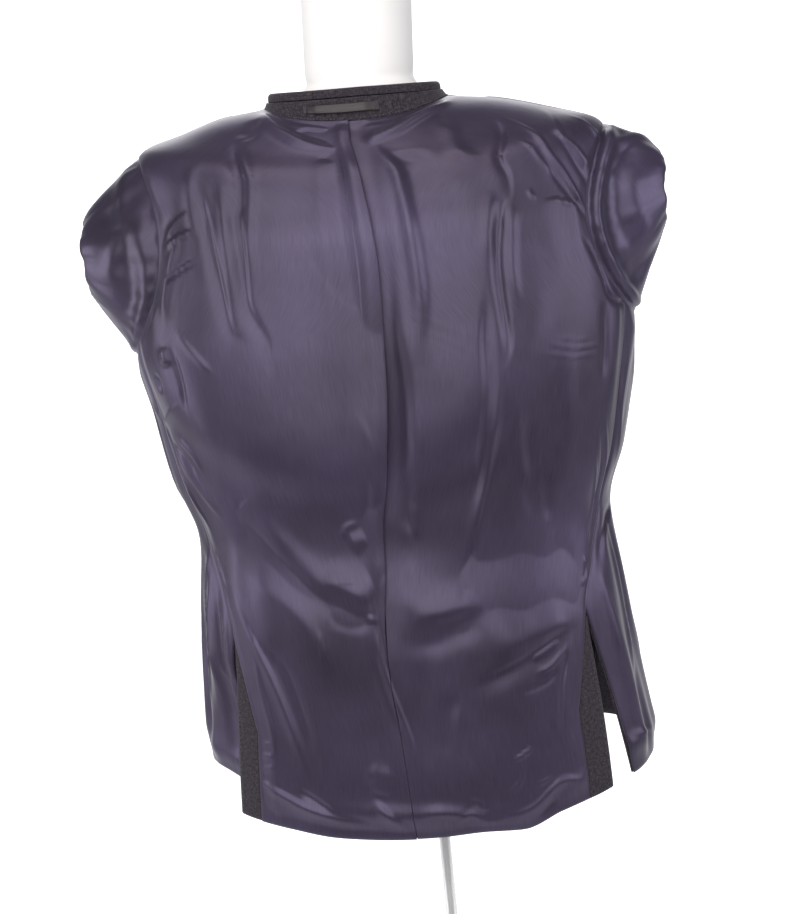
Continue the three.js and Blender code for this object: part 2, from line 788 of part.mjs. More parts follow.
// The dress form: one whole body up to the neck's rounded end
const formAround = 24;

function formTorso() {
  const angles = Array.from({ length: formAround }, (_, j) => (j / formAround) * 360);
  const rings = formRings.map((ring) => angles.map((angle) => {
    const point = ringPoint(ring, angle);
    point.z += tiltAt(point.x) * smooth(ring.side, 1300, armhole.level + armhole.rise);
    return point;
  }));
  for (const row of formShoulders) {
    rings.push(angles.map((angle) => {
      const fromBack = Math.min(angle, 360 - angle);
      return bodyAt(angle, row.level, -mix(row.back, row.front, smooth(fromBack, 92, 108)));
    }));
  }
  for (const row of formNeck) {
    rings.push(angles.map((angle) => new THREE.Vector3(
      row.shiftX + row.radius * Math.sin(radians(angle)),
      row.shiftY + row.radius * Math.cos(radians(angle)),
      row.height,
    )));
  }
  return named('form_torso', cappedGeometry(rings, formRings[0].side, 1591), 'jersey');
}

// A closed solid through rings of points, with a middle point at each end
function cappedGeometry(rings, bottom, top) {
  const positions = [];
  for (const ring of rings) for (const point of ring) positions.push(point.x, point.y, point.z);
  const around = rings[0].length;
  const last = rings.length - 1;
  const middles = [[rings[0], bottom], [rings[last], top]].map(([ring, height]) => {
    const middle = ring.reduce((sum, point) => sum.add(point), new THREE.Vector3());
    middle.divideScalar(around).setZ(height);
    positions.push(middle.x, middle.y, middle.z);
    return positions.length / 3 - 1;
  });
  const at = (i, j) => i * around + (j % around);
  const index = [];
  for (let j = 0; j < around; j += 1) {
    for (let i = 0; i < last; i += 1) {
      index.push(at(i, j), at(i + 1, j), at(i + 1, j + 1), at(i, j), at(i + 1, j + 1), at(i, j + 1));
    }
    index.push(middles[0], at(0, j), at(0, j + 1));
    index.push(middles[1], at(last, j + 1), at(last, j));
  }
  return indexedGeometry(positions, index);
}

// A turned piece from its profile, with its axis upright
function turned(name, look, profile, segments) {
  const geometry = new THREE.LatheGeometry(profile.map(([r, z]) => new THREE.Vector2(r, z)), segments);
  geometry.rotateX(Math.PI / 2);
  return named(name, geometry, look);
}

const hubTop = 40;
const socketDrop = 34;

function stand() {
  const formFoot = formRings[0].side;
  const base = turned('stand_base', 'chrome', [
    [0, 0], [baseRadius - 2, 0], [baseRadius, 2], [baseRadius, baseHeight - 3],
    [baseRadius - 3, baseHeight], [24, baseHeight], [16, baseHeight + 3],
    [12, hubTop - 2], [10, hubTop], [0, hubTop],
  ], 30);
  const rod = turned('stand_rod', 'chrome', [
    [0, hubTop + 0.3], [rodRadius, hubTop + 0.3],
    [rodRadius, formFoot - socketDrop - 0.3], [0, formFoot - socketDrop - 0.3],
  ], 20);
  const socket = turned('stand_socket', 'chrome', [
    [0, formFoot - socketDrop], [12, formFoot - socketDrop], [13, formFoot - socketDrop + 1],
    [13, formFoot - 8], [30, formFoot - 5], [30, formFoot - 0.3], [0, formFoot - 0.3],
  ], 24);
  return [base, rod, socket];
}

// The two front buttons, sewn to the wool face by the left front edge
const buttonLevels = [1150, 1040];
const buttonRadius = 10;
const buttonThick = 3;

function frontButton(level, index) {
  const angle = -(frontEdgeAngle(level) - degreesFor(20, level));
  const seat = bodyAt(angle, level, -woolWall - 0.8);
  const outward = bodyAt(angle, level, -woolWall).sub(bodyAt(angle, level, -woolWall - 1)).normalize();
  const geometry = new THREE.LatheGeometry([
    [0, 0], [buttonRadius - 1, 0], [buttonRadius, 1], [buttonRadius, buttonThick - 1],
    [buttonRadius - 1, buttonThick], [buttonRadius - 3, buttonThick - 0.7], [0, buttonThick - 0.7],
  ].map(([r, y]) => new THREE.Vector2(r, y)), 12);
  const mesh = named(`front_button_${index + 1}`, geometry, 'horn');
  mesh.quaternion.setFromUnitVectors(new THREE.Vector3(0, 1, 0), outward.negate());
  mesh.position.copy(seat);
  return mesh;
}

const worn = new THREE.Group();
worn.position.x = wornShift;
worn.add(formTorso(), backWool(), neckFacing(), hangerLoop(), collar());
for (const side of sides) {
  worn.add(backLining(side), ventFacing(side));
  worn.add(sideWool(side), sideLining(side));
  worn.add(frontWool(side), frontFacing(side), frontLining(side), lapelFold(side));
  worn.add(sleeve(side));
}
worn.add(...buttonLevels.map(frontButton));

const group = new THREE.Group();
group.add(...stand(), worn);

export default group;
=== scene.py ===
# A sport coat worn inside out by a limbless dress form on a rod stand. The coat is made
# on one body surface: an angle round it, 0 at the centre back and 90 at the wearer's left,
# and a level, which is a height up to the armhole and a running distance over the shoulder.
# Cloth is worked out in millimetres and turned into metres as its mesh is made.
import math

import bpy
import numpy as np
from mathutils import Matrix, Vector


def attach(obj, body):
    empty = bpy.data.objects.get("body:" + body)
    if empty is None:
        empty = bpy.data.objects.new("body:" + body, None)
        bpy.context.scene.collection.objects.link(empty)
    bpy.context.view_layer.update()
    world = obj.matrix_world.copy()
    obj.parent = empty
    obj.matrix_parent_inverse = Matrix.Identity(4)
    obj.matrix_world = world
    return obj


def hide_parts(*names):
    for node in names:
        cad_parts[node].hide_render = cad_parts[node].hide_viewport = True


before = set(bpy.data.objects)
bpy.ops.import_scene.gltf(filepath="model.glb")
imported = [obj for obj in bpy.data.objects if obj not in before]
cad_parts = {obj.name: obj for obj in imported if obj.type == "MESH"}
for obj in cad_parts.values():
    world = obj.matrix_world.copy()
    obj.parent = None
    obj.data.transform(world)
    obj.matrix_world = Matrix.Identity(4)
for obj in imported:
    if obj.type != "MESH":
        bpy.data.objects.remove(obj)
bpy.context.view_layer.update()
bpy.ops.object.select_all(action="DESELECT")
print("frame loaded:", len(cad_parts), "nodes")

camera = {
    "target": (0.009, 0.0, 1.092),
    "azimuth": 184,
    "elevation": 11,
    "roll": 5.5,
    "distance": 1.75,
    "lens": 64.63,
    "nearest": 0.05,
    "farthest": 30,
}


def makeCamera():
    azimuth = math.radians(camera["azimuth"])
    elevation = math.radians(camera["elevation"])
    back = Vector((
        math.sin(azimuth) * math.cos(elevation),
        -math.cos(azimuth) * math.cos(elevation),
        math.sin(elevation),
    ))
    right = (-back).cross(Vector((0, 0, 1))).normalized()
    up = right.cross(-back)
    roll = math.radians(camera["roll"])
    rolledRight = right * math.cos(roll) - up * math.sin(roll)
    rolledUp = right * math.sin(roll) + up * math.cos(roll)
    data = bpy.data.cameras.new("camera")
    data.lens = camera["lens"]
    data.clip_start = camera["nearest"]
    data.clip_end = camera["farthest"]
    view = bpy.data.objects.new("camera", data)
    bpy.context.collection.objects.link(view)
    turn = Matrix((rolledRight, rolledUp, back)).transposed().to_4x4()
    place = Vector(camera["target"]) + back * camera["distance"]
    view.matrix_world = Matrix.Translation(place) @ turn
    bpy.context.scene.camera = view


studio = {
    "sweepFront": 1.0,
    "sweepBack": -4.8,
    "sweepHeight": 5.5,
    "sweepHalf": 5.0,
    "sweepRadius": 1.0,
    "sweepSteps": 12,
    "paper": (0.93, 0.93, 0.95),
    "glow": 0.75,
    "glowStart": -0.2,
    "glowFull": -1.7,
    "sky": (0.90, 0.90, 0.94),
    "skyStrength": 0.1,
    "skySeen": 0.85,
}

# name, place, aimed at, width, height, power, colour
lamps = [
    ("behind", (0.3, 2.25, 1.93), (0.0, 0.0, 1.35), 3.0, 2.05, 62, (1.0, 0.985, 0.965)),
    ("overhead", (0.1, 1.25, 3.3), (0.0, 0.0, 1.4), 2.1, 1.1, 25, (1.0, 0.93, 0.90)),
    ("left", (2.4, 0.6, 1.25), (0, 0, 1.1), 0.9, 1.6, 24, (0.99, 0.97, 1.0)),
    ("right", (-2.3, 1.25, 1.45), (0, 0, 1.2), 1.3, 1.6, 27, (0.98, 0.97, 1.0)),
    ("front", (0.2, -1.4, 2.4), (0, 0, 1.1), 1.6, 1.2, 16, (1, 1, 1)),
]


# Paper that glows behind the coat and is plain under it
def makePaper():
    paper = bpy.data.materials.new("paper")
    paper.use_nodes = True
    tree = paper.node_tree
    shader = tree.nodes["Principled BSDF"]
    shader.inputs["Base Color"].default_value = (*studio["paper"], 1)
    shader.inputs["Roughness"].default_value = 0.9
    shader.inputs["Emission Color"].default_value = (1, 1, 1, 1)
    places = tree.nodes.new("ShaderNodeTexCoord")
    parts = tree.nodes.new("ShaderNodeSeparateXYZ")
    glow = tree.nodes.new("ShaderNodeMapRange")
    glow.inputs["From Min"].default_value = studio["glowStart"]
    glow.inputs["From Max"].default_value = studio["glowFull"]
    glow.inputs["To Min"].default_value = 0.0
    glow.inputs["To Max"].default_value = studio["glow"]
    tree.links.new(places.outputs["Object"], parts.inputs[0])
    tree.links.new(parts.outputs["Y"], glow.inputs["Value"])
    tree.links.new(glow.outputs["Result"], shader.inputs["Emission Strength"])
    return paper


def makeStage():
    radius = studio["sweepRadius"]
    profile = [(studio["sweepFront"], 0.0), (studio["sweepBack"] + radius, 0.0)]
    for step in range(1, studio["sweepSteps"]):
        turn = math.pi / 2 * step / studio["sweepSteps"]
        profile.append((
            studio["sweepBack"] + radius - radius * math.sin(turn),
            radius - radius * math.cos(turn),
        ))
    profile += [(studio["sweepBack"], radius), (studio["sweepBack"], studio["sweepHeight"])]
    half = studio["sweepHalf"]
    vertices = [(side * half, y, z) for y, z in profile for side in (-1, 1)]
    faces = [(2 * i, 2 * i + 1, 2 * i + 3, 2 * i + 2) for i in range(len(profile) - 1)]
    mesh = bpy.data.meshes.new("sweep")
    mesh.from_pydata(vertices, [], faces)
    mesh.polygons.foreach_set("use_smooth", [True] * len(faces))
    sweep = bpy.data.objects.new("sweep", mesh)
    bpy.context.collection.objects.link(sweep)
    mesh.materials.append(makePaper())
    for name, place, aim, width, height, power, colour in lamps:
        data = bpy.data.lights.new(name, "AREA")
        data.shape = "RECTANGLE"
        data.size, data.size_y = width, height
        data.energy = power
        data.color = colour
        lamp = bpy.data.objects.new(name, data)
        bpy.context.collection.objects.link(lamp)
        lamp.location = place
        lamp.rotation_euler = (Vector(aim) - Vector(place)).to_track_quat("-Z", "Y").to_euler()
    world = bpy.data.worlds.new("studio")
    bpy.context.scene.world = world
    world.use_nodes = True
    tree = world.node_tree
    sky = tree.nodes["Background"]
    sky.inputs["Color"].default_value = (*studio["sky"], 1)
    seen = tree.nodes.new("ShaderNodeLightPath")
    strength = tree.nodes.new("ShaderNodeMapRange")
    strength.inputs["To Min"].default_value = studio["skyStrength"]
    strength.inputs["To Max"].default_value = studio["skySeen"]
    tree.links.new(seen.outputs["Is Camera Ray"], strength.inputs["Value"])
    tree.links.new(strength.outputs["Result"], sky.inputs["Strength"])
    bpy.context.scene.view_settings.view_transform = "Standard"


makeCamera()
makeStage()
print("camera and stage made")


# A material's nodes are added by name, with their settings and links
class Recipe:
    def __init__(self, name):
        self.material = bpy.data.materials.new(name)
        self.material.use_nodes = True
        self.tree = self.material.node_tree
        self.shader = self.tree.nodes["Principled BSDF"]

    def add(self, kind, settings=None, **inputs):
        node = self.tree.nodes.new(kind)
        for key, value in (settings or {}).items():
            setattr(node, key, value)
        for key, value in inputs.items():
            self.put(node.inputs[key.replace("_", " ")], value)
        return node

    def put(self, socket, value):
        if isinstance(value, bpy.types.NodeSocket):
            self.tree.links.new(value, socket)
        else:
            socket.default_value = value

    def finish(self, **inputs):
        for key, value in inputs.items():
            self.put(self.shader.inputs[key.replace("_", " ")], value)
        return self.material

    def ramp(self, factor, low, high, start=0.0, end=1.0):
        node = self.add("ShaderNodeValToRGB", Fac=factor)
        node.color_ramp.elements[0].position = start
        node.color_ramp.elements[1].position = end
        node.color_ramp.elements[0].color = (*low, 1)
        node.color_ramp.elements[1].color = (*high, 1)
        return node.outputs["Color"]

    def spread(self, factor, low, high):
        node = self.add("ShaderNodeMapRange", Value=factor, To_Min=low, To_Max=high)
        return node.outputs["Result"]

    def noise(self, coordinates, scale, stretch=(1, 1, 1), detail=3.0, roughness=0.5):
        mapped = self.add("ShaderNodeMapping", Vector=coordinates, Scale=stretch)
        node = self.add(
            "ShaderNodeTexNoise", Vector=mapped.outputs["Vector"], Scale=scale, Detail=detail,
            Roughness=roughness,
        )
        return node.outputs["Fac"]

    def objectPlace(self):
        return self.add("ShaderNodeTexCoord").outputs["Object"]

    def clothPlace(self):
        return self.add("ShaderNodeUVMap", {"uv_map": "cloth"}).outputs["UV"]

    def bump(self, height, strength, distance, below=None):
        node = self.add("ShaderNodeBump", Height=height, Strength=strength, Distance=distance)
        if below is not None:
            self.put(node.inputs["Normal"], below)
        return node.outputs["Normal"]


# The lining's gloss fades between two facings, so that its outline doesn't glow
satinLook = {
    "dark": (0.041, 0.033, 0.057),
    "light": (0.069, 0.056, 0.104),
    "roughness": 0.38,
    "metallic": 0.5,
    "anisotropy": 0.3,
    "cloud": 7.0,
    "threads": 900,
    "threadBump": 0.0002,
    "crumples": 46.0,
    "crumple": 0.0009,
    "specular": 0.38,
    "sheen": 0.06,
    "edgeStart": 0.55,
    "edgeEnd": 0.93,
}


def makeSatin():
    recipe = Recipe("satin lining")
    places = recipe.objectPlace()
    weave = recipe.clothPlace()
    cloud = recipe.noise(places, satinLook["cloud"], detail=4.0)
    threads = recipe.noise(weave, satinLook["threads"], (1, 0.05, 1), detail=2.0)
    colour = recipe.ramp(cloud, satinLook["dark"], satinLook["light"], 0.28, 0.72)
    fleck = recipe.ramp(threads, (0.86, 0.86, 0.86), (1.1, 1.1, 1.1), 0.3, 0.7)
    mixed = recipe.add("ShaderNodeMix", {"data_type": "RGBA", "blend_type": "MULTIPLY"})
    recipe.put(mixed.inputs[0], 1.0)
    recipe.put(mixed.inputs[6], colour)
    recipe.put(mixed.inputs[7], fleck)
    crumple = recipe.noise(places, satinLook["crumples"], (1, 1, 0.55), detail=3.0, roughness=0.45)
    soft = recipe.bump(crumple, 0.35, satinLook["crumple"])
    fine = recipe.bump(threads, 0.12, satinLook["threadBump"], soft)
    tangent = recipe.add("ShaderNodeTangent", {"direction_type": "UV_MAP", "uv_map": "cloth"})
    facing = recipe.add("ShaderNodeLayerWeight", Blend=0.5).outputs["Facing"]
    shine = recipe.add(
        "ShaderNodeMapRange", Value=facing, From_Min=satinLook["edgeStart"],
        From_Max=satinLook["edgeEnd"], To_Min=satinLook["metallic"], To_Max=0.0,
    )
    rough = satinLook["roughness"]
    return recipe.finish(
        Base_Color=mixed.outputs[2],
        Roughness=recipe.spread(cloud, rough - 0.05, rough + 0.06),
        Metallic=shine.outputs["Result"],
        Anisotropic=satinLook["anisotropy"],
        Tangent=tangent.outputs["Tangent"],
        Specular_IOR_Level=satinLook["specular"],
        Sheen_Weight=satinLook["sheen"],
        Sheen_Roughness=0.4,
        Normal=fine,
    )


woolLook = {
    "dark": (0.013, 0.0105, 0.0145),
    "light": (0.078, 0.066, 0.084),
    "roughness": 0.9,
    "threads": 620,
}


def makeWool():
    recipe = Recipe("heather wool")
    places = recipe.objectPlace()
    weave = recipe.clothPlace()
    fleck = recipe.noise(weave, woolLook["threads"], (1, 0.4, 1), detail=3.0, roughness=0.7)
    cross = recipe.noise(weave, woolLook["threads"], (0.35, 1, 1), detail=3.0, roughness=0.7)
    both = recipe.add("ShaderNodeMath", {"operation": "MULTIPLY"})
    recipe.put(both.inputs[0], fleck)
    recipe.put(both.inputs[1], cross)
    colour = recipe.ramp(both.outputs[0], woolLook["dark"], woolLook["light"], 0.18, 0.52)
    fuzz = recipe.noise(places, 260.0, detail=4.0, roughness=0.65)
    felt = recipe.bump(fuzz, 0.5, 0.0006)
    return recipe.finish(
        Base_Color=colour,
        Roughness=woolLook["roughness"],
        Specular_IOR_Level=0.2,
        Sheen_Weight=0.18,
        Sheen_Roughness=0.55,
        Sheen_Tint=(0.5, 0.48, 0.55, 1),
        Normal=recipe.bump(both.outputs[0], 0.5, 0.0004, felt),
    )


def makeTape():
    recipe = Recipe("satin tape")
    weave = recipe.clothPlace()
    ribs = recipe.noise(weave, 800.0, (0.1, 1, 1), detail=2.0)
    colour = recipe.ramp(ribs, (0.019, 0.014, 0.017), (0.034, 0.027, 0.031), 0.3, 0.7)
    return recipe.finish(
        Base_Color=colour, Roughness=0.42, Metallic=0.25, Specular_IOR_Level=0.5,
        Normal=recipe.bump(ribs, 0.3, 0.0003),
    )


def makeJersey():
    recipe = Recipe("white jersey")
    places = recipe.objectPlace()
    knit = recipe.noise(places, 900.0, (1, 1, 0.5), detail=2.0)
    cloud = recipe.noise(places, 6.0, detail=3.0)
    colour = recipe.ramp(cloud, (0.76, 0.755, 0.75), (0.83, 0.825, 0.82), 0.3, 0.7)
    return recipe.finish(
        Base_Color=colour, Roughness=0.8, Specular_IOR_Level=0.3, Sheen_Weight=0.15,
        Sheen_Roughness=0.5, Normal=recipe.bump(knit, 0.25, 0.0003),
    )


def makeChrome():
    recipe = Recipe("polished chrome")
    places = recipe.objectPlace()
    smudge = recipe.noise(places, 18.0, detail=5.0)
    brushed = recipe.noise(places, 160.0, (1, 1, 0.02), detail=2.0)
    colour = recipe.ramp(smudge, (0.80, 0.80, 0.81), (0.90, 0.90, 0.91), 0.3, 0.7)
    return recipe.finish(
        Base_Color=colour, Metallic=0.6, Roughness=recipe.spread(smudge, 0.14, 0.28),
        Normal=recipe.bump(brushed, 0.05, 0.0002),
    )


def makeHorn():
    recipe = Recipe("dark horn")
    places = recipe.objectPlace()
    grain = recipe.noise(places, 60.0, (1, 1, 3), detail=5.0)
    colour = recipe.ramp(grain, (0.012, 0.009, 0.007), (0.055, 0.038, 0.028), 0.35, 0.7)
    return recipe.finish(
        Base_Color=colour, Roughness=recipe.spread(grain, 0.24, 0.4), Coat_Weight=0.3,
        Coat_Roughness=0.15, Normal=recipe.bump(grain, 0.1, 0.0003),
    )


def makeThread():
    recipe = Recipe("sewing thread")
    places = recipe.objectPlace()
    twist = recipe.noise(places, 1800.0, detail=2.0)
    colour = recipe.ramp(twist, (0.03, 0.027, 0.036), (0.075, 0.068, 0.088), 0.3, 0.7)
    return recipe.finish(Base_Color=colour, Roughness=0.5, Normal=recipe.bump(twist, 0.4, 0.0002))


looks = {
    "satin": makeSatin(),
    "wool": makeWool(),
    "tape": makeTape(),
    "jersey": makeJersey(),
    "chrome": makeChrome(),
    "horn": makeHorn(),
    "thread": makeThread(),
}
print("materials made")

coat = {
    "shift": 9,
    "ventTop": 932,
    "hemLevel": 716,
    "neckLevel": 1606,
    "facingLevel": 1580,
    "tiltLeft": 2,
    "tiltRight": 8,
    "tiltSpan": 236,
    "squareness": 0.88,
    "armAngle": 90,
    "armLevel": 1329,
    "armReach": 34,
    "armRise": 99,
    "sideSeamReach": 18.5,
    "liningOut": 2.3,
    "facingOut": 2.5,
    "ease": 3.2,
    "satinThick": 0.7,
    "woolThick": 1.5,
}
perMetre = 1000
wornShift = np.array([coat["shift"], 0, 0])

# level, side height, back height, front height, half width, lean, depth back, depth front
ringTable = [
    (716, 716, 716, 716, 243, -5, 130, 128),
    (780, 780, 780, 780, 238, -4, 130, 128),
    (880, 880, 880, 880, 228, -2, 127, 125),
    (950, 950, 950, 950, 221, 0, 124, 122),
    (1030, 1030, 1030, 1030, 214, 1, 114, 112),
    (1090, 1090, 1090, 1090, 232, 2, 114, 112),
    (1160, 1160, 1160, 1160, 246, 2, 117, 112),
    (1246, 1246, 1246, 1246, 259, 4, 119, 112),
    (1330, 1330, 1328, 1326, 252, 2, 118, 104),
    (1390, 1388, 1368, 1360, 243, 0, 108, 88),
    (1428, 1426, 1392, 1384, 235, 0, 98, 74),
    (1478, 1442, 1410, 1402, 189, 2, 86, 66),
    (1528, 1456, 1427, 1425, 138, 8, 74, 62),
    (1578, 1462, 1443, 1447, 92, 10, 64, 58),
    (1606, 1470, 1468, 1456, 87, 11, 60, 55),
]
ringNames = ("level", "side", "back", "front", "half", "lean", "deepBack", "deepFront")


# Smooth curve through a table's points with no overshoot, softened over a few millimetres
def curve(points, soften=0.0):
    xs = np.array([point[0] for point in points], float)
    ys = np.array([point[1] for point in points], float)
    rises = np.diff(ys) / np.diff(xs)
    slopes = np.concatenate([rises[:1], np.zeros(len(xs) - 2), rises[-1:]])
    product = rises[:-1] * rises[1:]
    total = np.where(product > 0, rises[:-1] + rises[1:], 1)
    slopes[1:-1] = np.where(product > 0, 2 * product / total, 0)
    step = 2.0 if soften else (xs[-1] - xs[0]) / 900
    fine = np.arange(xs[0], xs[-1] + step, step)
    fine[-1] = xs[-1]
    k = np.clip(np.searchsorted(xs, fine, side="right") - 1, 0, len(xs) - 2)
    span = xs[k + 1] - xs[k]
    t = (fine - xs[k]) / span
    s = 1 - t
    value = (1 + 2 * t) * s * s * ys[k] + (1 + 2 * s) * t * t * ys[k + 1]
    value += t * s * span * (s * slopes[k] - t * slopes[k + 1])
    if soften:
        reach = int(3 * soften / step)
        kernel = np.exp(-0.5 * (np.arange(-reach, reach + 1) * step / soften) ** 2)
        ahead = 2 * value[0] - value[reach:0:-1]
        behind = 2 * value[-1] - value[-2:-reach - 2:-1]
        value = np.convolve(np.concatenate([ahead, value, behind]), kernel / kernel.sum(), "valid")
    return lambda x: np.interp(x, fine, value)


def smooth(x, start, finish):
    share = np.clip((np.asarray(x, float) - start) / (finish - start), 0, 1)
    return share * share * (3 - 2 * share)


def mix(low, high, share):
    return low + (high - low) * share


def softPower(x):
    return np.sign(x) * np.abs(x) ** coat["squareness"]


ring = {
    name: curve([(row[0], row[column]) for row in ringTable], 9.0)
    for column, name in enumerate(ringNames)
    if column
}


def tiltAt(x):
    return np.where(x > 0, coat["tiltLeft"], coat["tiltRight"]) * x / coat["tiltSpan"]


def ringPoint(shape, angle):
    across = np.sin(np.radians(angle))
    along = np.cos(np.radians(angle))
    end = np.where(along > 0, shape["back"], shape["front"])
    deep = np.where(along > 0, shape["deepBack"], shape["deepFront"])
    x = shape["lean"] + shape["half"] * softPower(across)
    z = shape["side"] + (end - shape["side"]) * along * along
    return np.stack([x, deep * softPower(along), z], -1)


def bodyPoint(angle, level):
    angle, level = np.broadcast_arrays(np.asarray(angle, float), np.asarray(level, float))
    point = ringPoint({name: at(level) for name, at in ring.items()}, angle)
    lift = smooth(level, 1300, coat["armLevel"] + coat["armRise"])
    point[..., 2] += tiltAt(point[..., 0]) * lift
    return point


def bodyNormal(angle, level):
    turn = bodyPoint(angle + 0.4, level) - bodyPoint(angle - 0.4, level)
    rise = bodyPoint(angle, np.minimum(level + 2, coat["neckLevel"])) - bodyPoint(angle, level - 2)
    normal = np.cross(rise, turn)
    return normal / np.linalg.norm(normal, axis=-1, keepdims=True)


def bodyAt(angle, level, out):
    angle, level, out = np.broadcast_arrays(angle * 1.0, level * 1.0, np.asarray(out, float))
    return bodyPoint(angle, level) + bodyNormal(angle, level) * out[..., None]


# Edges of the panels, in degrees from the centre back
backEdgeHigh = [(985, 60), (1043, 70), (1150, 71), (1246, 71.5)]
backEdgeAt = {
    "left": curve([(716, 55), (830, 54.4), (932, 53.5)] + backEdgeHigh),
    "right": curve([(716, 50), (830, 51.2), (932, 51.5)] + backEdgeHigh),
}
sideEdgeAt = {
    "left": curve([(716, 52), (830, 53.6), (880, 55.2), (932, 53.5)]),
    "right": curve([(716, 60.7), (830, 56.4), (880, 54), (932, 51.5)]),
}
frontSeamAt = curve([(716, 114), (932, 112), (1246, 108.5)])
edgeDistanceAt = curve([
    (716, 74), (745, 50), (790, 39), (1090, 38), (1250, 56), (1330, 66), (1428, 76),
    (1532, 82), (1578, 83), (1606, 85.6),
])
facingDistanceAt = curve([
    (716, 160), (745, 140), (790, 126), (1090, 122), (1250, 131), (1330, 134), (1428, 134),
    (1532, 131), (1578, 92), (1606, 87),
])
backHemAt = curve([
    (-50, 742), (-31, 729), (-20, 716), (-10, 718), (0, 716), (20, 720), (34, 728), (55, 737),
])
sideHemAt = curve([
    (-165, 744), (-120, 760), (-75, 752), (-60, 747), (52, 770), (75, 781), (125, 771), (165, 746),
])
pleatAngleAt = curve([
    (700, 2.5), (834, 3.6), (905, 4.6), (950, 4.2), (985, 3.4), (1040, 3), (1092, 1),
    (1282, -1), (1400, 0.5), (1512, 2), (1578, 2),
], 10.0)
pleatUnderAt = curve([
    (700, -0.5), (905, -0.5), (950, -0.4), (985, 6), (1040, 13), (1092, 15), (1578, 15),
], 8.0)
cornerLevel = coat["armLevel"] - coat["armRise"] * math.sqrt(
    1 - (coat["sideSeamReach"] / coat["armReach"]) ** 2)
armTop = coat["armLevel"] + coat["armRise"]


def angleAtDistance(level, distance):
    share = np.minimum(distance / ring["half"](level), 1)
    return 180 - np.degrees(np.arcsin(share ** (1 / coat["squareness"])))


def frontEdgeAngle(level):
    return angleAtDistance(level, edgeDistanceAt(level))


# The facing's inner edge runs up to the shoulder seam, then along it
def facingEdgeAngle(level):
    low = np.minimum(level, 1528)
    return mix(angleAtDistance(low, facingDistanceAt(low)), 90, np.clip((level - 1528) / 16, 0, 1))


def degreesFor(length, level):
    return np.degrees(length / ring["half"](level))


def degreesBeside(length, angle, level):
    beside = bodyPoint(angle + 0.5, level) - bodyPoint(angle - 0.5, level)
    return length / np.linalg.norm(beside, axis=-1)


def armholeReach(level):
    share = (np.asarray(level, float) - coat["armLevel"]) / coat["armRise"]
    return coat["armReach"] * np.sqrt(np.maximum(0, 1 - share * share))


def backEdge(side):
    return lambda level: np.where(
        level >= cornerLevel, 90 - armholeReach(level), backEdgeAt[side](level))


def sideEdge(side):
    return lambda level: np.where(
        level < coat["ventTop"], sideEdgeAt[side](level), backEdge(side)(level))


def frontBackEdge(level):
    return np.where(level >= cornerLevel, 90 + armholeReach(level), frontSeamAt(level))


def underarm(share):
    beside = (2 * share - 1) * coat["sideSeamReach"]
    return coat["armLevel"] - coat["armRise"] * np.sqrt(1 - (beside / coat["armReach"]) ** 2)


# Lengths by which the rows of a panel's four stretches are counted, and the least gap
rowRuns = {"vent": 216, "side": 314, "arm": 200, "shoulder": 178, "least": 0.3}


# Rows of a panel: from the hem to the vents, up to the armhole, round it and over the shoulder
def rowsBetween(low, high, spacing):
    start = math.asin((cornerLevel - coat["armLevel"]) / coat["armRise"])
    armCount = round(rowRuns["arm"] / spacing)
    arm = coat["armLevel"] + coat["armRise"] * np.sin(np.linspace(start, math.pi / 2, armCount))
    rows = np.concatenate([
        np.linspace(coat["hemLevel"], coat["ventTop"], round(rowRuns["vent"] / spacing))[:-1],
        np.linspace(coat["ventTop"], cornerLevel, round(rowRuns["side"] / spacing))[:-1],
        arm,
        np.linspace(armTop, coat["neckLevel"], round(rowRuns["shoulder"] / spacing))[1:],
    ])
    inside = rows[(rows > low + rowRuns["least"]) & (rows < high - rowRuns["least"])]
    return np.concatenate([[low], inside, [high]])


# Angle and level of every point of a panel between two edges
def panelGrid(rows, shares, hem, fromEdge, toEdge, top=None):
    nominal = rows[:, None]
    angle = mix(fromEdge(nominal), toEdge(nominal), shares[None, :])
    low = (nominal - coat["hemLevel"]) / (coat["ventTop"] - coat["hemLevel"])
    level = np.where(low < 1, mix(hem(angle), coat["ventTop"], low), nominal + 0 * angle)
    if top is not None:
        lift = (top(shares) - coat["ventTop"]) / (cornerLevel - coat["ventTop"])
        raised = coat["ventTop"] + (level - coat["ventTop"]) * lift[None, :]
        level = np.where(low < 1, level, raised)
    return angle, level


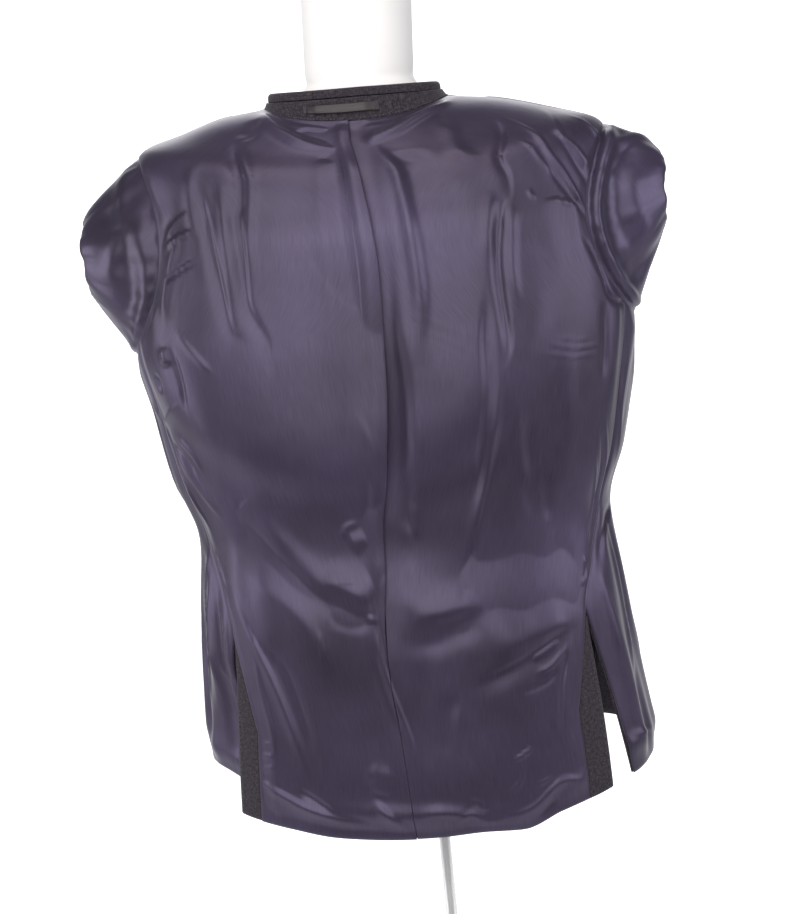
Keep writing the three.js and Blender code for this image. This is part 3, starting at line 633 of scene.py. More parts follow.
# Creases of the lining: a line of angle and level pairs, its half width, how far it stands
# proud or sinks, and how much steeper its left side is than its right one
creases = [
    ("broad swell of the upper back", [
        (74, 1262), (58, 1216), (44, 1172), (28, 1138), (10, 1124), (-4, 1130), (-15, 1152),
        (-25, 1200), (-36, 1310),
    ], 68, 10, -0.55),
    ("hollow of the waist", [(60, 1060), (30, 1040), (4, 1020)], 46, -0.8, 0),
    ("hollow right of the waist", [(-2, 968), (-18, 974), (-38, 970), (-60, 964)], 38, -5.5, 0),
    ("swell right of the pleat", [(-4, 1490), (-6.5, 1380), (-8, 1280), (-7, 1215)], 6.5, 4.8, 0),
    ("swell left of the pleat", [
        (9, 1490), (8, 1380), (6.5, 1280), (7, 1200), (9, 1140),
    ], 9, 1.6, 0),
    ("left side gather 1", [(84, 1180), (80, 1120), (84, 1050)], 5, 2.4, 0.3),
    ("left side gather 2", [(92, 1200), (90, 1130), (96, 1060)], 6, 2.6, 0.3),
    ("left side gather 3", [(100, 1190), (102, 1120), (98, 1040)], 5, 2.2, 0),
    ("left side fold 1", [(80, 1010), (84, 930), (82, 840), (86, 790)], 7, 3.6, 0.3),
    ("left side fold 2", [(92, 1020), (94, 930), (98, 830)], 8, 3.2, -0.3),
    ("left side fold 3", [(104, 1000), (104, 900), (106, 800)], 7, 3.0, 0.3),
    ("right side gather 1", [(-76, 1190), (-74, 1130), (-80, 1060)], 5, 2.4, 0.3),
    ("right side gather 2", [(-88, 1200), (-92, 1130), (-88, 1050)], 6, 2.6, 0.3),
    ("right side gather 3", [(-100, 1180), (-98, 1110), (-102, 1040)], 5, 2.2, 0),
    ("right side fold 1", [(-74, 1020), (-76, 930), (-72, 830)], 7, 3.2, 0.3),
    ("right side fold 2", [(-88, 1010), (-90, 920), (-94, 820)], 8, 3.4, -0.3),
    ("right side fold 3", [(-102, 1000), (-103, 900), (-101, 800)], 7, 3.0, 0.3),
    ("left front fold 1", [(118, 1180), (126, 1080), (122, 960), (126, 820)], 11, 3.4, 0.3),
    ("left front fold 2", [(132, 1140), (138, 1040), (134, 900)], 9, -2.6, 0),
    ("left front fold 3", [(126, 1300), (134, 1240), (142, 1160)], 9, 3.0, 0.3),
    ("left chest crease", [(122, 1380), (130, 1330), (128, 1250)], 7, -2.8, 0.3),
    ("right front fold 1", [(-118, 1170), (-124, 1070), (-120, 950), (-127, 830)], 11, 3.4, 0.3),
    ("right front fold 2", [(-134, 1150), (-136, 1030), (-139, 910)], 9, -2.6, 0),
    ("right front fold 3", [(-127, 1310), (-133, 1230), (-143, 1170)], 9, 3.0, 0.3),
    ("right chest crease", [(-121, 1390), (-129, 1320), (-130, 1260)], 7, -2.8, 0.3),
    ("left swag ridge", [(67, 1570), (29.5, 1534), (15.5, 1508), (3.5, 1490)], 9, 4.5, 0.2),
    ("left swag hollow", [(25.5, 1552), (12, 1536), (3.5, 1526)], 10, -3, 0),
    ("hollow under left swag", [(10.5, 1474), (5, 1472)], 9, -1.6, 0),
    ("right swag ridge", [
        (1.5, 1502), (-7.5, 1522), (-25, 1548), (-41.5, 1558), (-63.5, 1562),
    ], 8, 4.2, -0.3),
    ("right bowl", [(-10, 1478), (-10, 1396), (-13.5, 1380)], 17, -3.2, 0),
    ("right bowl rim", [(-36.5, 1534), (-25.5, 1482), (-22, 1444), (-27, 1426)], 10, 2.6, 0),
    ("left trough 1", [
        (43, 1490), (30, 1436), (28, 1394), (28.5, 1372), (27, 1340), (26, 1296), (25, 1272),
        (21.5, 1242), (21.5, 1220),
    ], 6, -3.4, 0.3),
    ("left trough 1 lip", [
        (41, 1506), (26.5, 1432), (25, 1378), (24.5, 1334), (23, 1292),
    ], 6, 2, 0),
    ("left trough 2", [
        (40, 1406), (36.5, 1356), (34, 1318), (32, 1286), (30, 1254), (27, 1242),
    ], 6.5, -3.2, 0.3),
    ("between troughs", [(34, 1420), (32.5, 1378), (29.5, 1308), (28, 1274)], 7, 2.4, 0),
    ("left shoulder soft", [(44.5, 1438), (44, 1394), (40.5, 1348)], 9, 1.8, 0),
    ("left shoulder edge dip", [(56, 1550), (42.5, 1516), (46.5, 1498)], 8, -1.8, 0),
    ("left arm ray 1", [(40.5, 1358), (48, 1348), (53.5, 1334)], 2.2, 2, 0.4),
    ("left arm ray 2", [(39, 1326), (45, 1316), (53, 1302)], 2.2, 2.2, 0.4),
    ("left arm ray 3", [(44, 1380), (48.5, 1366), (52, 1348)], 2.4, 1.8, 0.2),
    ("left armhole dip", [
        (50.5, 1376), (55, 1348), (59, 1318), (60, 1288), (59, 1258),
    ], 6, -2.8, 0.3),
    ("left armhole lip", [(46, 1354), (49, 1326), (51.5, 1292), (51.5, 1262)], 8, 2.2, 0),
    ("left corner swell", [(53, 1242), (52.5, 1222)], 9, 3.4, 0),
    ("left corner hollow", [(59.5, 1214), (59.5, 1194)], 7, -3.2, 0),
    ("left corner ray 1", [(47.5, 1258), (42, 1236), (37, 1214)], 4, 1.6, 0.3),
    ("left corner ray 2", [(49, 1238), (48, 1206), (49.5, 1176)], 4, -1.8, 0.2),
    ("left corner ray 3", [(73.5, 1150), (60, 1172), (52, 1184)], 2.2, 2, 0.3),
    ("left side ridge", [
        (78, 1182), (70, 1150), (66, 1106), (63, 1056), (62.5, 1040),
    ], 3.4, 2.8, 0.5),
    ("left side wedge", [(66, 1140), (60.5, 1126), (56, 1108)], 4, -2.8, 0.4),
    ("left side wedge lip", [(61, 1146), (55.5, 1130), (52.5, 1106)], 4, 1.6, 0),
    ("left side ridge 2", [(64.5, 1128), (57.5, 1090), (51.5, 1058)], 6, 1.6, 0),
    ("left small nick 1", [(43.5, 1072), (39, 1082), (35.5, 1090)], 2, -0.9, 0.2),
    ("left small nick 2", [(40, 1082), (36, 1090)], 1.6, 0.7, 0),
    ("left seam pucker 1", [(65, 1014), (60.5, 998)], 3, 1.8, 0),
    ("left drag 1", [(43.5, 1056), (34.5, 1018), (22.5, 980), (12.5, 958)], 11, -2.2, 0.3),
    ("left drag 1 lip", [(37, 1064), (28, 1026), (17, 988), (6.5, 972)], 12, 1.8, 0),
    ("left drag 2", [(47.5, 1002), (28.5, 964), (21, 924), (19.5, 882)], 11, 1.8, 0),
    ("left drag 3", [(49, 960), (43.5, 930), (37, 890), (31.5, 840), (28, 790)], 6, 2.6, 0.4),
    ("left drag 3 hollow", [(40, 932), (32.5, 892), (27.5, 838), (25, 796)], 9, -2, 0),
    ("left vent ray", [(44, 920), (41.5, 878), (38.5, 836), (38, 798)], 4, 1.4, 0.2),
    ("left fine", [(21, 944), (20.5, 910)], 2, 0.9, 0),
    ("pleat soft left", [(4.5, 1166), (3, 1136), (3.5, 1094), (4, 1054)], 3, 1.2, 0.2),
    ("pleat soft left 2", [(3, 1156), (3.5, 1104), (6.5, 1044)], 3.5, -1, 0),
    ("strip edge", [(4.5, 1028), (5, 996), (5.5, 968), (5.5, 946), (5, 916)], 2.4, -2.4, 0.5),
    ("strip", [(2, 1050), (3, 1012), (3.5, 966)], 5, 2.2, 0),
    ("crumple arc", [(12.5, 1036), (11, 1048), (8, 1052)], 2.6, 1.3, 0.3),
    ("crumple swell", [(11, 1030), (6, 1036)], 9, 2, 0),
    ("nick line", [(14.5, 994), (10, 992)], 1.8, 1.1, 0.5),
    ("nick line 2", [(8.5, 954), (5.5, 952)], 1.8, 1.5, 0.5),
    ("left smear", [(19, 1000), (13, 988), (6.5, 970)], 12, 3, -0.3),
    ("left smear hollow", [(17.5, 962), (12, 952), (6.5, 950)], 9, -2.2, 0),
    ("right of pleat 1", [(-3.5, 1094), (-2, 1060), (-2.5, 1034)], 3.2, -2.2, 0.4),
    ("right of pleat 2", [(-3.5, 1070), (-3.5, 1030)], 2.4, 1.4, 0),
    ("right of pleat 3", [(-1, 1040), (0, 970)], 4.5, -1.6, 0),
    ("right of pleat 4", [(-1.5, 1010), (0, 950)], 5, 1.2, 0),
    ("right smear", [(0.5, 952), (-8, 956), (-19.5, 964)], 13, 3.2, -0.3),
    ("right smear hollow", [(1.5, 920), (-6, 926), (-16.5, 942)], 13, -2.4, 0),
    ("right crease top", [(-49, 1496), (-32, 1436), (-31.5, 1398), (-31, 1372)], 4, -2.6, 0.6),
    ("right crease", [
        (-30.5, 1370), (-28.5, 1360), (-27, 1328), (-26, 1296), (-26, 1264), (-26.5, 1222),
        (-25.5, 1202),
    ], 4.6, -4.6, 0.5),
    ("right crease lip", [(-31, 1362), (-30, 1328), (-29, 1288), (-29.5, 1250)], 6, 2.6, -0.2),
    ("right crease left lip", [(-26, 1386), (-24, 1330), (-24, 1296)], 7, 1.8, 0),
    ("right crease 2", [
        (-22.5, 1272), (-21, 1224), (-21, 1180), (-20.5, 1154), (-19.5, 1110), (-19, 1058),
    ], 5, -3.2, -0.3),
    ("right crease 2 lip", [
        (-23.5, 1178), (-23, 1152), (-21.5, 1110), (-19.5, 1064), (-16, 1004),
    ], 5, 3.4, 0.2),
    ("right fine long", [(-19, 1064), (-16, 1004), (-12.5, 964)], 4, -1.4, 0),
    ("right soft trough", [(-32.5, 1140), (-32.5, 1088), (-36.5, 1036)], 8, -1.6, 0),
    ("right soft ridge", [(-28.5, 1162), (-30, 1110), (-34.5, 1058)], 7, 1.6, 0),
    ("right low soft", [(-38, 1086), (-42, 1032)], 8, -1.2, 0),
    ("diagonal A", [
        (-52.5, 1488), (-45.5, 1430), (-49.5, 1388), (-52.5, 1358), (-56, 1340), (-66, 1314),
        (-74, 1296), (-78, 1276),
    ], 3.4, 2.6, 0.5),
    ("diagonal A hollow", [(-43, 1420), (-47.5, 1378), (-54, 1340), (-63.5, 1308)], 5, -2.4, 0),
    ("diagonal B", [
        (-72.5, 1480), (-54.5, 1440), (-57, 1410), (-63.5, 1378), (-67, 1348), (-72, 1316),
        (-80.5, 1288),
    ], 3.4, 2.4, 0.5),
    ("diagonal B hollow", [(-51, 1438), (-54.5, 1402), (-59.5, 1366), (-64, 1336)], 6, -2.2, 0),
    ("diagonal C", [(-40.5, 1444), (-42, 1414), (-45.5, 1392)], 2.6, 1.4, 0.3),
    ("deep nick D", [(-51.5, 1354), (-56.5, 1342), (-65, 1322), (-70.5, 1304)], 2.4, -2.4, 0.4),
    ("top diagonal", [(-72, 1454), (-69, 1428), (-75.5, 1406), (-87, 1382)], 4, 2, 0.3),
    ("right arm seam dip", [
        (-87, 1388), (-87, 1364), (-87, 1336), (-85.5, 1300), (-76, 1266),
    ], 5, -2.2, 0.2),
    ("lower armhole E", [
        (-51.5, 1314), (-56, 1294), (-59, 1272), (-62.5, 1248), (-74.5, 1238),
    ], 3.2, -3, 0.6),
    ("lower armhole E lip", [(-55, 1316), (-61, 1290), (-64.5, 1266)], 5, 2.4, 0),
    ("E tail", [(-58, 1248), (-58.5, 1208), (-58.5, 1168)], 8, -2, 0),
    ("small arc", [(-40, 1358), (-45, 1358), (-54.5, 1344)], 1.8, 1.8, 0.5),
    ("small arc 2", [(-36, 1378), (-38, 1364)], 2, 1.6, 0.2),
    ("fine rows 1", [(-36.5, 1214), (-46, 1206), (-57.5, 1204)], 1.4, 0.4, 0.4),
    ("fine rows 2", [(-34.5, 1206), (-44.5, 1198), (-57, 1196)], 1.4, 0.35, 0.4),
    ("fine rows 3", [(-38.5, 1218), (-51.5, 1212)], 1.3, 0.25, 0.4),
    ("right belly swell", [(-41, 1224), (-46, 1154), (-47.5, 1082)], 20, 1.8, 0),
    ("right seam ridge 1", [(-61.5, 1128), (-69, 1052), (-60.5, 998), (-55, 982)], 2.6, 1.8, 0.3),
    ("right seam ridge 2", [(-58.5, 1092), (-63.5, 1042), (-57.5, 998)], 2.2, 1.4, 0.3),
    ("right seam hollow", [(-59.5, 1116), (-65.5, 1054), (-59.5, 1002)], 3, -1.4, 0),
    ("star 1", [(-54.5, 986), (-57, 972)], 1.8, 2, 0.2),
    ("star 2", [(-57.5, 968), (-51, 960)], 1.8, 2, 0.2),
    ("star 3", [(-55.5, 980), (-53.5, 964)], 1.6, -1.2, 0),
    ("vent light right", [(-17.5, 908), (-34, 926), (-47.5, 932)], 15, 2.8, -0.4),
    ("vent light right hollow", [
        (-11.5, 872), (-19, 882), (-30.5, 898), (-42.5, 918),
    ], 9, -2.2, 0.3),
    ("right vent ray 1", [(-28.5, 894), (-34, 902), (-38.5, 910)], 2.6, 1.9, 0.3),
    ("right vent ray 2", [(-29.5, 880), (-34.5, 886), (-40.5, 902)], 2.4, 1.8, 0.3),
    ("right vent ray 3", [(-24, 862), (-31.5, 868), (-37, 880)], 2.6, -1, 0.2),
    ("right vertical", [(-41, 898), (-37, 864), (-34, 814)], 3.4, -1.8, 0.3),
    ("right low fold", [(-8, 862), (-7, 812), (-10, 782)], 5, 1.6, 0.3),
    ("right low fold 2", [(-7, 874), (-4, 800)], 8, -1.6, 0),
    ("right nick 1", [(-19.5, 792), (-25, 804)], 1.8, 1.8, 0.4),
    ("right nick 2", [(-24.5, 764), (-29.5, 768)], 1.8, 1.2, 0.4),
    ("right nick 3", [(-15, 752), (-20.5, 770), (-22, 796)], 2.4, 0.9, 0.3),
    ("pleat low line", [
        (5.5, 946), (6, 926), (5, 892), (3, 854), (1.5, 820), (1, 778),
    ], 2.6, 2.2, 0.6),
    ("pleat low hollow", [(7.5, 932), (7, 890), (5, 852), (3, 814)], 6, -1.6, 0),
    ("centre low hollow", [(-3, 918), (-1, 866), (-1, 792)], 7, -1.4, 0),
    ("low left swell", [(12, 796), (8.5, 788), (5.5, 792)], 10, 2, 0),
    ("low left swell 2", [(11, 778), (6.5, 770)], 6, 1.4, 0),
    ("hem ridge 1", [(45, 780), (35, 764), (25.5, 748), (17, 738), (10.5, 732)], 5, 3.2, 0.4),
    ("hem hollow 1", [(30.5, 772), (24.5, 758), (21, 750)], 4, -2.2, 0),
    ("hem ridge 2", [(11, 764), (7, 740), (3, 724)], 4.4, 2.2, 0.3),
    ("hem ridge 3", [(1.5, 746), (-2.5, 744), (-8, 738)], 6, 2.4, -0.2),
    ("hem hollow 3", [(-8, 756), (-12, 740)], 5, -1.8, 0),
    ("hem ridge 4", [(-4, 728), (-8, 740), (-11, 730), (-15.5, 730)], 4, 2.2, 0.3),
    ("hem ridge 5", [(-15.5, 730), (-23.5, 740), (-31.5, 762), (-39.5, 758)], 5, 2.6, 0.3),
    ("hem dark nick", [(-24.5, 730), (-29.5, 744)], 4, -2, 0),
    ("strip pucker 1", [(42.5, 818), (38.5, 822)], 2.4, 1, 0),
    ("strip pucker 2", [(43.5, 806), (38, 808)], 2.4, 1.1, 0),
    ("strip pucker 3", [(44, 790), (38, 796)], 2.6, 1, 0),
    ("strip pucker 4", [(45, 776), (40, 774)], 2.6, 0.9, 0),
    ("left panel ridge 1", [(67.5, 1030), (74, 962), (74, 896), (74.5, 828)], 4, 2.6, 0.3),
    ("left panel ridge 2", [(67.5, 982), (69, 932), (65.5, 868)], 3, 1.8, 0.2),
    ("left panel ridge 3", [(59, 970), (57.5, 928), (56.5, 884), (53, 842)], 3.4, 2, 0.4),
    ("left panel hollow", [(63, 978), (61.5, 914), (58, 862)], 4, -2.2, 0),
    ("left panel top", [(64, 1020), (61, 1004), (56.5, 980)], 3, 2.4, 0.3),
    ("left panel small", [(63.5, 898), (59, 882), (55, 850)], 3.4, 1.6, 0.3),
    ("right panel ridge 1", [(-62, 968), (-63, 914), (-64.5, 868)], 7, 1.6, 0),
    ("right panel ridge 2", [(-55.5, 940), (-56.5, 886), (-59, 830)], 7, -1.4, 0),
    ("right panel fold", [(-85.5, 1030), (-70, 1006), (-62, 978)], 5, -2.6, 0.4),
    ("right panel hem", [(-62, 790), (-82.5, 778)], 3, 1.4, 0),
]


# Places between b and c on a smooth curve through four points
def between(a, b, c, d, t):
    return 0.5 * (2 * b + (c - a) * t + (2 * a - 5 * b + 4 * c - d) * t ** 2
                  + (3 * b - a - 3 * c + d) * t ** 3)


creaseSteps = 6


def creaseLine(points):
    spaced = np.array(points, float)
    if len(spaced) < 3:
        spaced = np.array([spaced[0], spaced.mean(0), spaced[-1]])
    padded = np.vstack([2 * spaced[0] - spaced[1], spaced, 2 * spaced[-1] - spaced[-2]])
    line = []
    for i in range(len(spaced) - 1):
        for t in np.linspace(0, 1, creaseSteps + 1)[:-1]:
            line.append(between(*padded[i:i + 4], t))
    line.append(spaced[-1])
    return np.array(line)


# Height of one crease over a grid of angles and levels
def creaseHeight(angle, level, points, width, depth, lean):
    line = creaseLine(points)
    scale = math.radians(1) * float(ring["half"](line[:, 1].mean()))
    lineX, lineY = line[:, 0] * scale, line[:, 1]
    reach = 4 * width
    x, y = angle * scale, level
    near = (x > lineX.min() - reach) & (x < lineX.max() + reach)
    near &= (y > lineY.min() - reach) & (y < lineY.max() + reach)
    height = np.zeros_like(x)
    if not near.any():
        return height
    px, py = x[near], y[near]
    steps = np.hypot(np.diff(lineX), np.diff(lineY))
    runs = np.concatenate([[0], np.cumsum(steps)])
    nearest = np.full(px.shape, 1e9)
    beside = np.zeros_like(px)
    along = np.zeros_like(px)
    for i, step in enumerate(steps):
        dx, dy = (lineX[i + 1] - lineX[i]) / step, (lineY[i + 1] - lineY[i]) / step
        run = np.clip((px - lineX[i]) * dx + (py - lineY[i]) * dy, 0, step)
        gapX, gapY = px - lineX[i] - run * dx, py - lineY[i] - run * dy
        gap = np.hypot(gapX, gapY)
        closer = gap < nearest
        nearest = np.where(closer, gap, nearest)
        beside = np.where(closer, gapX * dy - gapY * dx, beside)
        along = np.where(closer, (runs[i] + run) / runs[-1], along)
    sided = width * (1 - lean * np.tanh(beside / width))
    fade = smooth(np.minimum(along, 1 - along), -0.06, 0.3)
    height[near] = depth * fade * np.exp(-(nearest / sided) ** 2)
    return height


def creasedHeight(angle, level):
    total = np.zeros(np.broadcast(angle, level).shape)
    for _, points, width, depth, lean in creases:
        total += creaseHeight(angle + 0 * level, level + 0 * angle, points, width, depth, lean)
    return total


# Soft upright waves of loose cloth: degrees round the coat for a wave, height, lean and start,
# strongest at the sides, where the panels hang free
drapeWaves = [
    (7.5, 1.0, 0.012, 0.4), (11, 0.9, -0.016, 2.1), (16, 0.8, 0.02, 4.0), (23, 0.55, -0.01, 1.2),
    (37, 0.3, 0.03, 5.1), (5, 0.8, -0.02, 3.3),
]
drape = {"back": 0.32, "side": 0.9, "sideHem": 0.9, "front": 0.45, "wander": 0.9}


def drapeHeight(angle, level):
    around = np.abs(angle)
    hung = smooth(around, 54, 70) * smooth(around, 150, 118)
    strength = drape["back"] + hung * (drape["side"] + drape["sideHem"] * smooth(level, 1080, 860))
    strength = strength + drape["front"] * smooth(around, 108, 120)
    total = np.zeros(np.broadcast(angle, level).shape)
    for degrees, height, lean, start in drapeWaves:
        wander = drape["wander"] * np.sin(level / 97 + start * 2) + lean * level
        phase = 360 / degrees * np.radians(angle) / 2 + wander + start
        total = total + height * np.sin(phase) * (0.6 + 0.4 * np.sin(level / 143 + start))
    return total * strength * smooth(level, 1440, 1370)


hemRoll = {"height": 2.8, "above": 24, "sway": 6, "half": 12}


# How far the lining stands off: lowest at its seams, eased and creased between them, with a
# soft uneven roll above the hem
def liningOut(angle, level, seamDistance, hemDistance):
    free = 0.4 * smooth(seamDistance, 0, 6) + 0.6 * smooth(seamDistance, 2, 28)
    free = free * smooth(hemDistance, -10, 40)
    tip = 0.6 * smooth(level, 1370, 1415) * smooth(level, 1490, 1440)
    ease = coat["ease"] + creasedHeight(angle, level) + drapeHeight(angle, level)
    uneven = 0.75 + 0.45 * np.sin(angle / 9.3 + 1) + 0.3 * np.sin(angle / 3.7)
    sag = hemRoll["above"] + hemRoll["sway"] * np.sin(angle / 13)
    rolled = np.exp(-(((hemDistance - sag) / hemRoll["half"]) ** 2))
    roll = hemRoll["height"] * uneven * rolled * smooth(seamDistance, -4, 14)
    return coat["liningOut"] + tip + np.maximum(0, ease) * free + roll


def gridNormals(grid, round=False):
    rise = np.gradient(grid, axis=0)
    if round:
        turn = np.roll(grid, -1, 1) - np.roll(grid, 1, 1)
    else:
        turn = np.gradient(grid, axis=1)
    normal = np.cross(rise, turn)
    return normal / np.maximum(np.linalg.norm(normal, axis=-1, keepdims=True), 1e-9)


# Turns a grid of points in millimetres into a thin closed shell of cloth, with its own UV map
# in metres, and returns what its sheet measures flat
def makeCloth(name, grid, thick, look, node, round=False):
    rowCount, width = grid.shape[:2]
    inner = grid - gridNormals(grid, round) * thick
    points = np.concatenate([grid.reshape(-1, 3), inner.reshape(-1, 3)])
    points = points + wornShift
    half = rowCount * width
    across = width if round else width - 1
    i, j = np.meshgrid(np.arange(rowCount - 1), np.arange(across), indexing="ij")
    a = (i * width + j).ravel()
    b = ((i + 1) * width + j).ravel()
    c = ((i + 1) * width + (j + 1) % width).ravel()
    d = (i * width + (j + 1) % width).ravel()
    faces = [np.stack([a, b, c, d], 1), np.stack([a, d, c, b], 1) + half]
    j = np.arange(across)
    low, lowNext = j, (j + 1) % width
    high, highNext = low + (rowCount - 1) * width, lowNext + (rowCount - 1) * width
    faces.append(np.stack([low, lowNext, lowNext + half, low + half], 1))
    faces.append(np.stack([high, high + half, highNext + half, highNext], 1))
    if not round:
        i = np.arange(rowCount - 1) * width
        faces.append(np.stack([i, i + half, i + width + half, i + width], 1))
        far = i + width - 1
        faces.append(np.stack([far, far + width, far + width + half, far + half], 1))
    faces = np.concatenate(faces)
    mesh = bpy.data.meshes.new(name)
    mesh.vertices.add(len(points))
    mesh.vertices.foreach_set("co", (points / perMetre).ravel())
    mesh.loops.add(4 * len(faces))
    mesh.loops.foreach_set("vertex_index", faces.ravel())
    mesh.polygons.add(len(faces))
    mesh.polygons.foreach_set("loop_start", np.arange(0, 4 * len(faces), 4))
    mesh.polygons.foreach_set("loop_total", np.full(len(faces), 4))
    isSmooth = np.arange(len(faces)) < 2 * (rowCount - 1) * across
    mesh.polygons.foreach_set("use_smooth", isSmooth)
    rises = np.linalg.norm(np.diff(grid, axis=0), axis=-1).mean(1) / perMetre
    v = np.concatenate([[0], np.cumsum(rises)])[:, None] + np.zeros((1, width))
    runs = np.linalg.norm(np.diff(grid, axis=1), axis=-1) / perMetre
    u = np.concatenate([np.zeros((rowCount, 1)), np.cumsum(runs, 1)], 1)
    u = u - u[:, width // 2][:, None]
    uv = np.stack([u.ravel(), v.ravel()], 1)
    uv = np.concatenate([uv, uv])[faces.ravel()]
    mesh.uv_layers.new(name="cloth").data.foreach_set("uv", uv.ravel())
    mesh.materials.append(looks[look])
    mesh.update()
    mesh.validate()
    piece = bpy.data.objects.new(name, mesh)
    bpy.context.collection.objects.link(piece)
    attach(piece, "root")
    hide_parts(node)
    cell = np.cross(grid[1:, :-1] - grid[:-1, :-1], grid[:-1, 1:] - grid[:-1, :-1])
    area = np.linalg.norm(cell, axis=-1).sum() / perMetre ** 2
    length = np.linalg.norm(np.diff(grid, axis=0), axis=-1).sum(0).max() / perMetre
    return piece, (runs.sum(1).max(), length), area


# One panel of cloth on the body, at a distance from it. The right side's points run the other
# way round, and are turned to face outwards.
def makePanel(name, angle, level, out, thick, look, node, sign=1):
    points = bodyAt(sign * angle, level, out)
    if sign < 0:
        points = points[:, ::-1]
    piece, size, area = makeCloth(name, points, thick, look, node)


sides = (("left", 1), ("right", -1))


def title(side):
    return side.capitalize()


woolPanel = {"rowGap": 7, "backColumns": 61, "sideColumns": 25, "frontColumns": 41}


# Panels of wool, which lie inside and carry the rest
def makeWoolPanels():
    fullRows = rowsBetween(coat["hemLevel"], coat["neckLevel"], woolPanel["rowGap"])
    sideRows = rowsBetween(coat["hemLevel"], cornerLevel, woolPanel["rowGap"])
    thick = coat["woolThick"]
    angle, level = panelGrid(
        fullRows, np.linspace(0, 1, woolPanel["backColumns"]), backHemAt,
        lambda l: -backEdge("right")(l), lambda l: backEdge("left")(l) + 0 * l)
    makePanel(
        "woolBack", angle, level, 0, thick, "wool", "back_wool")
    for side, sign in sides:
        angle, level = panelGrid(
            sideRows, np.linspace(0, 1, woolPanel["sideColumns"]), lambda a: sideHemAt(sign * a),
            sideEdge(side), frontSeamAt, underarm)
        makePanel(
            "woolSide" + title(side), angle, level, sideTuck(side, angle, level), thick,
            "wool", f"side_wool_{side}", sign)
        angle, level = panelGrid(
            fullRows, np.linspace(0, 1, woolPanel["frontColumns"]), lambda a: sideHemAt(sign * a),
            frontBackEdge, frontEdgeAngle)
        makePanel(
            "woolFront" + title(side), angle, level, 0, thick,
            "wool", f"front_wool_{side}", sign)


tuck = {"depth": 9, "high": 915, "low": 840, "outer": 78, "inner": 58}


# The left side panel is tucked in behind the back panel below the vent
def sideTuck(side, angle, level):
    if side == "right":
        return 0 * angle
    below = smooth(level, tuck["high"], tuck["low"])
    return -tuck["depth"] * below * smooth(angle, tuck["outer"], tuck["inner"])


makeWoolPanels()
print("wool panels made")

ventStrip = {
    "width": 28,
    "rise": 110,
    "top": 926,
    "rowGap": 3.5,
    "columns": 11,
    "thick": 1.0,
    "crown": 0.5,
    "turnedIn": 0.9,
}


def ventWidthAt(level):
    return ventStrip["width"] * np.clip((coat["ventTop"] - level) / ventStrip["rise"], 0, 1)


# Where the back lining ends beside the vent's strip and the side seam, and the strip begins
def stripEdge(side, sign):
    edge = backEdge(side)
    return lambda level: edge(level) - degreesBeside(ventWidthAt(level), sign * edge(level), level)


def makeVentStrips():
    rows = rowsBetween(coat["hemLevel"], ventStrip["top"], ventStrip["rowGap"])
    shares = np.linspace(0, 1, ventStrip["columns"])
    crown = ventStrip["crown"] * np.sin(math.pi * shares)[None, :]
    turnedIn = ventStrip["turnedIn"] * smooth(shares, 0.93, 1)[None, :]
    for side, sign in sides:
        angle, level = panelGrid(
            rows, shares, lambda a: backHemAt(sign * a), stripEdge(side, sign), backEdge(side))
        makePanel(
            "ventStrip" + title(side), angle, level, coat["facingOut"] + crown - turnedIn,
            ventStrip["thick"], "wool", f"vent_facing_{side}", sign)


makeVentStrips()
print("vent strips made")

backLining = {"rowGap": 2.7, "leftColumns": 132, "rightColumns": 138, "crowding": 1.12}
# The left panel's edge lies over the right one: radius and return of its fold, points round it,
# how far it stands proud, its rounded lip, and how wide the right panel sinks beside it
pleatFold = {
    "radius": 1.3,
    "return": 12,
    "steps": 7,
    "least": 1.6,
    "proud": 4.2,
    "eased": 30,
    "lip": 1.5,
    "lipHalf": 5,
    "sunkFrom": -19,
    "sunkLower": -7,
    "sunkTo": -4,
}


# Adds the columns that turn under the left panel's edge
def foldUnder(angle, level, out, closed):
    radius = pleatFold["radius"]
    turns = np.linspace(math.pi, 0, pleatFold["steps"])[:-1]
    shift = np.concatenate([[pleatFold["return"]], -radius * np.sin(turns)])[None, :]
    drop = np.concatenate([[2 * radius], radius * (1 - np.cos(turns))])[None, :]
    closed = closed[:, :1]
    underAngle = angle[:, :1] + degreesFor(shift * (0.1 + 0.9 * closed), level[:, :1])
    underLevel = level[:, :1] + 0 * underAngle
    underOut = out[:, :1] - drop * (0.3 + 0.7 * closed)
    return (
        np.concatenate([underAngle, angle], 1),
        np.concatenate([underLevel, level], 1),
        np.concatenate([underOut, out], 1),
    )


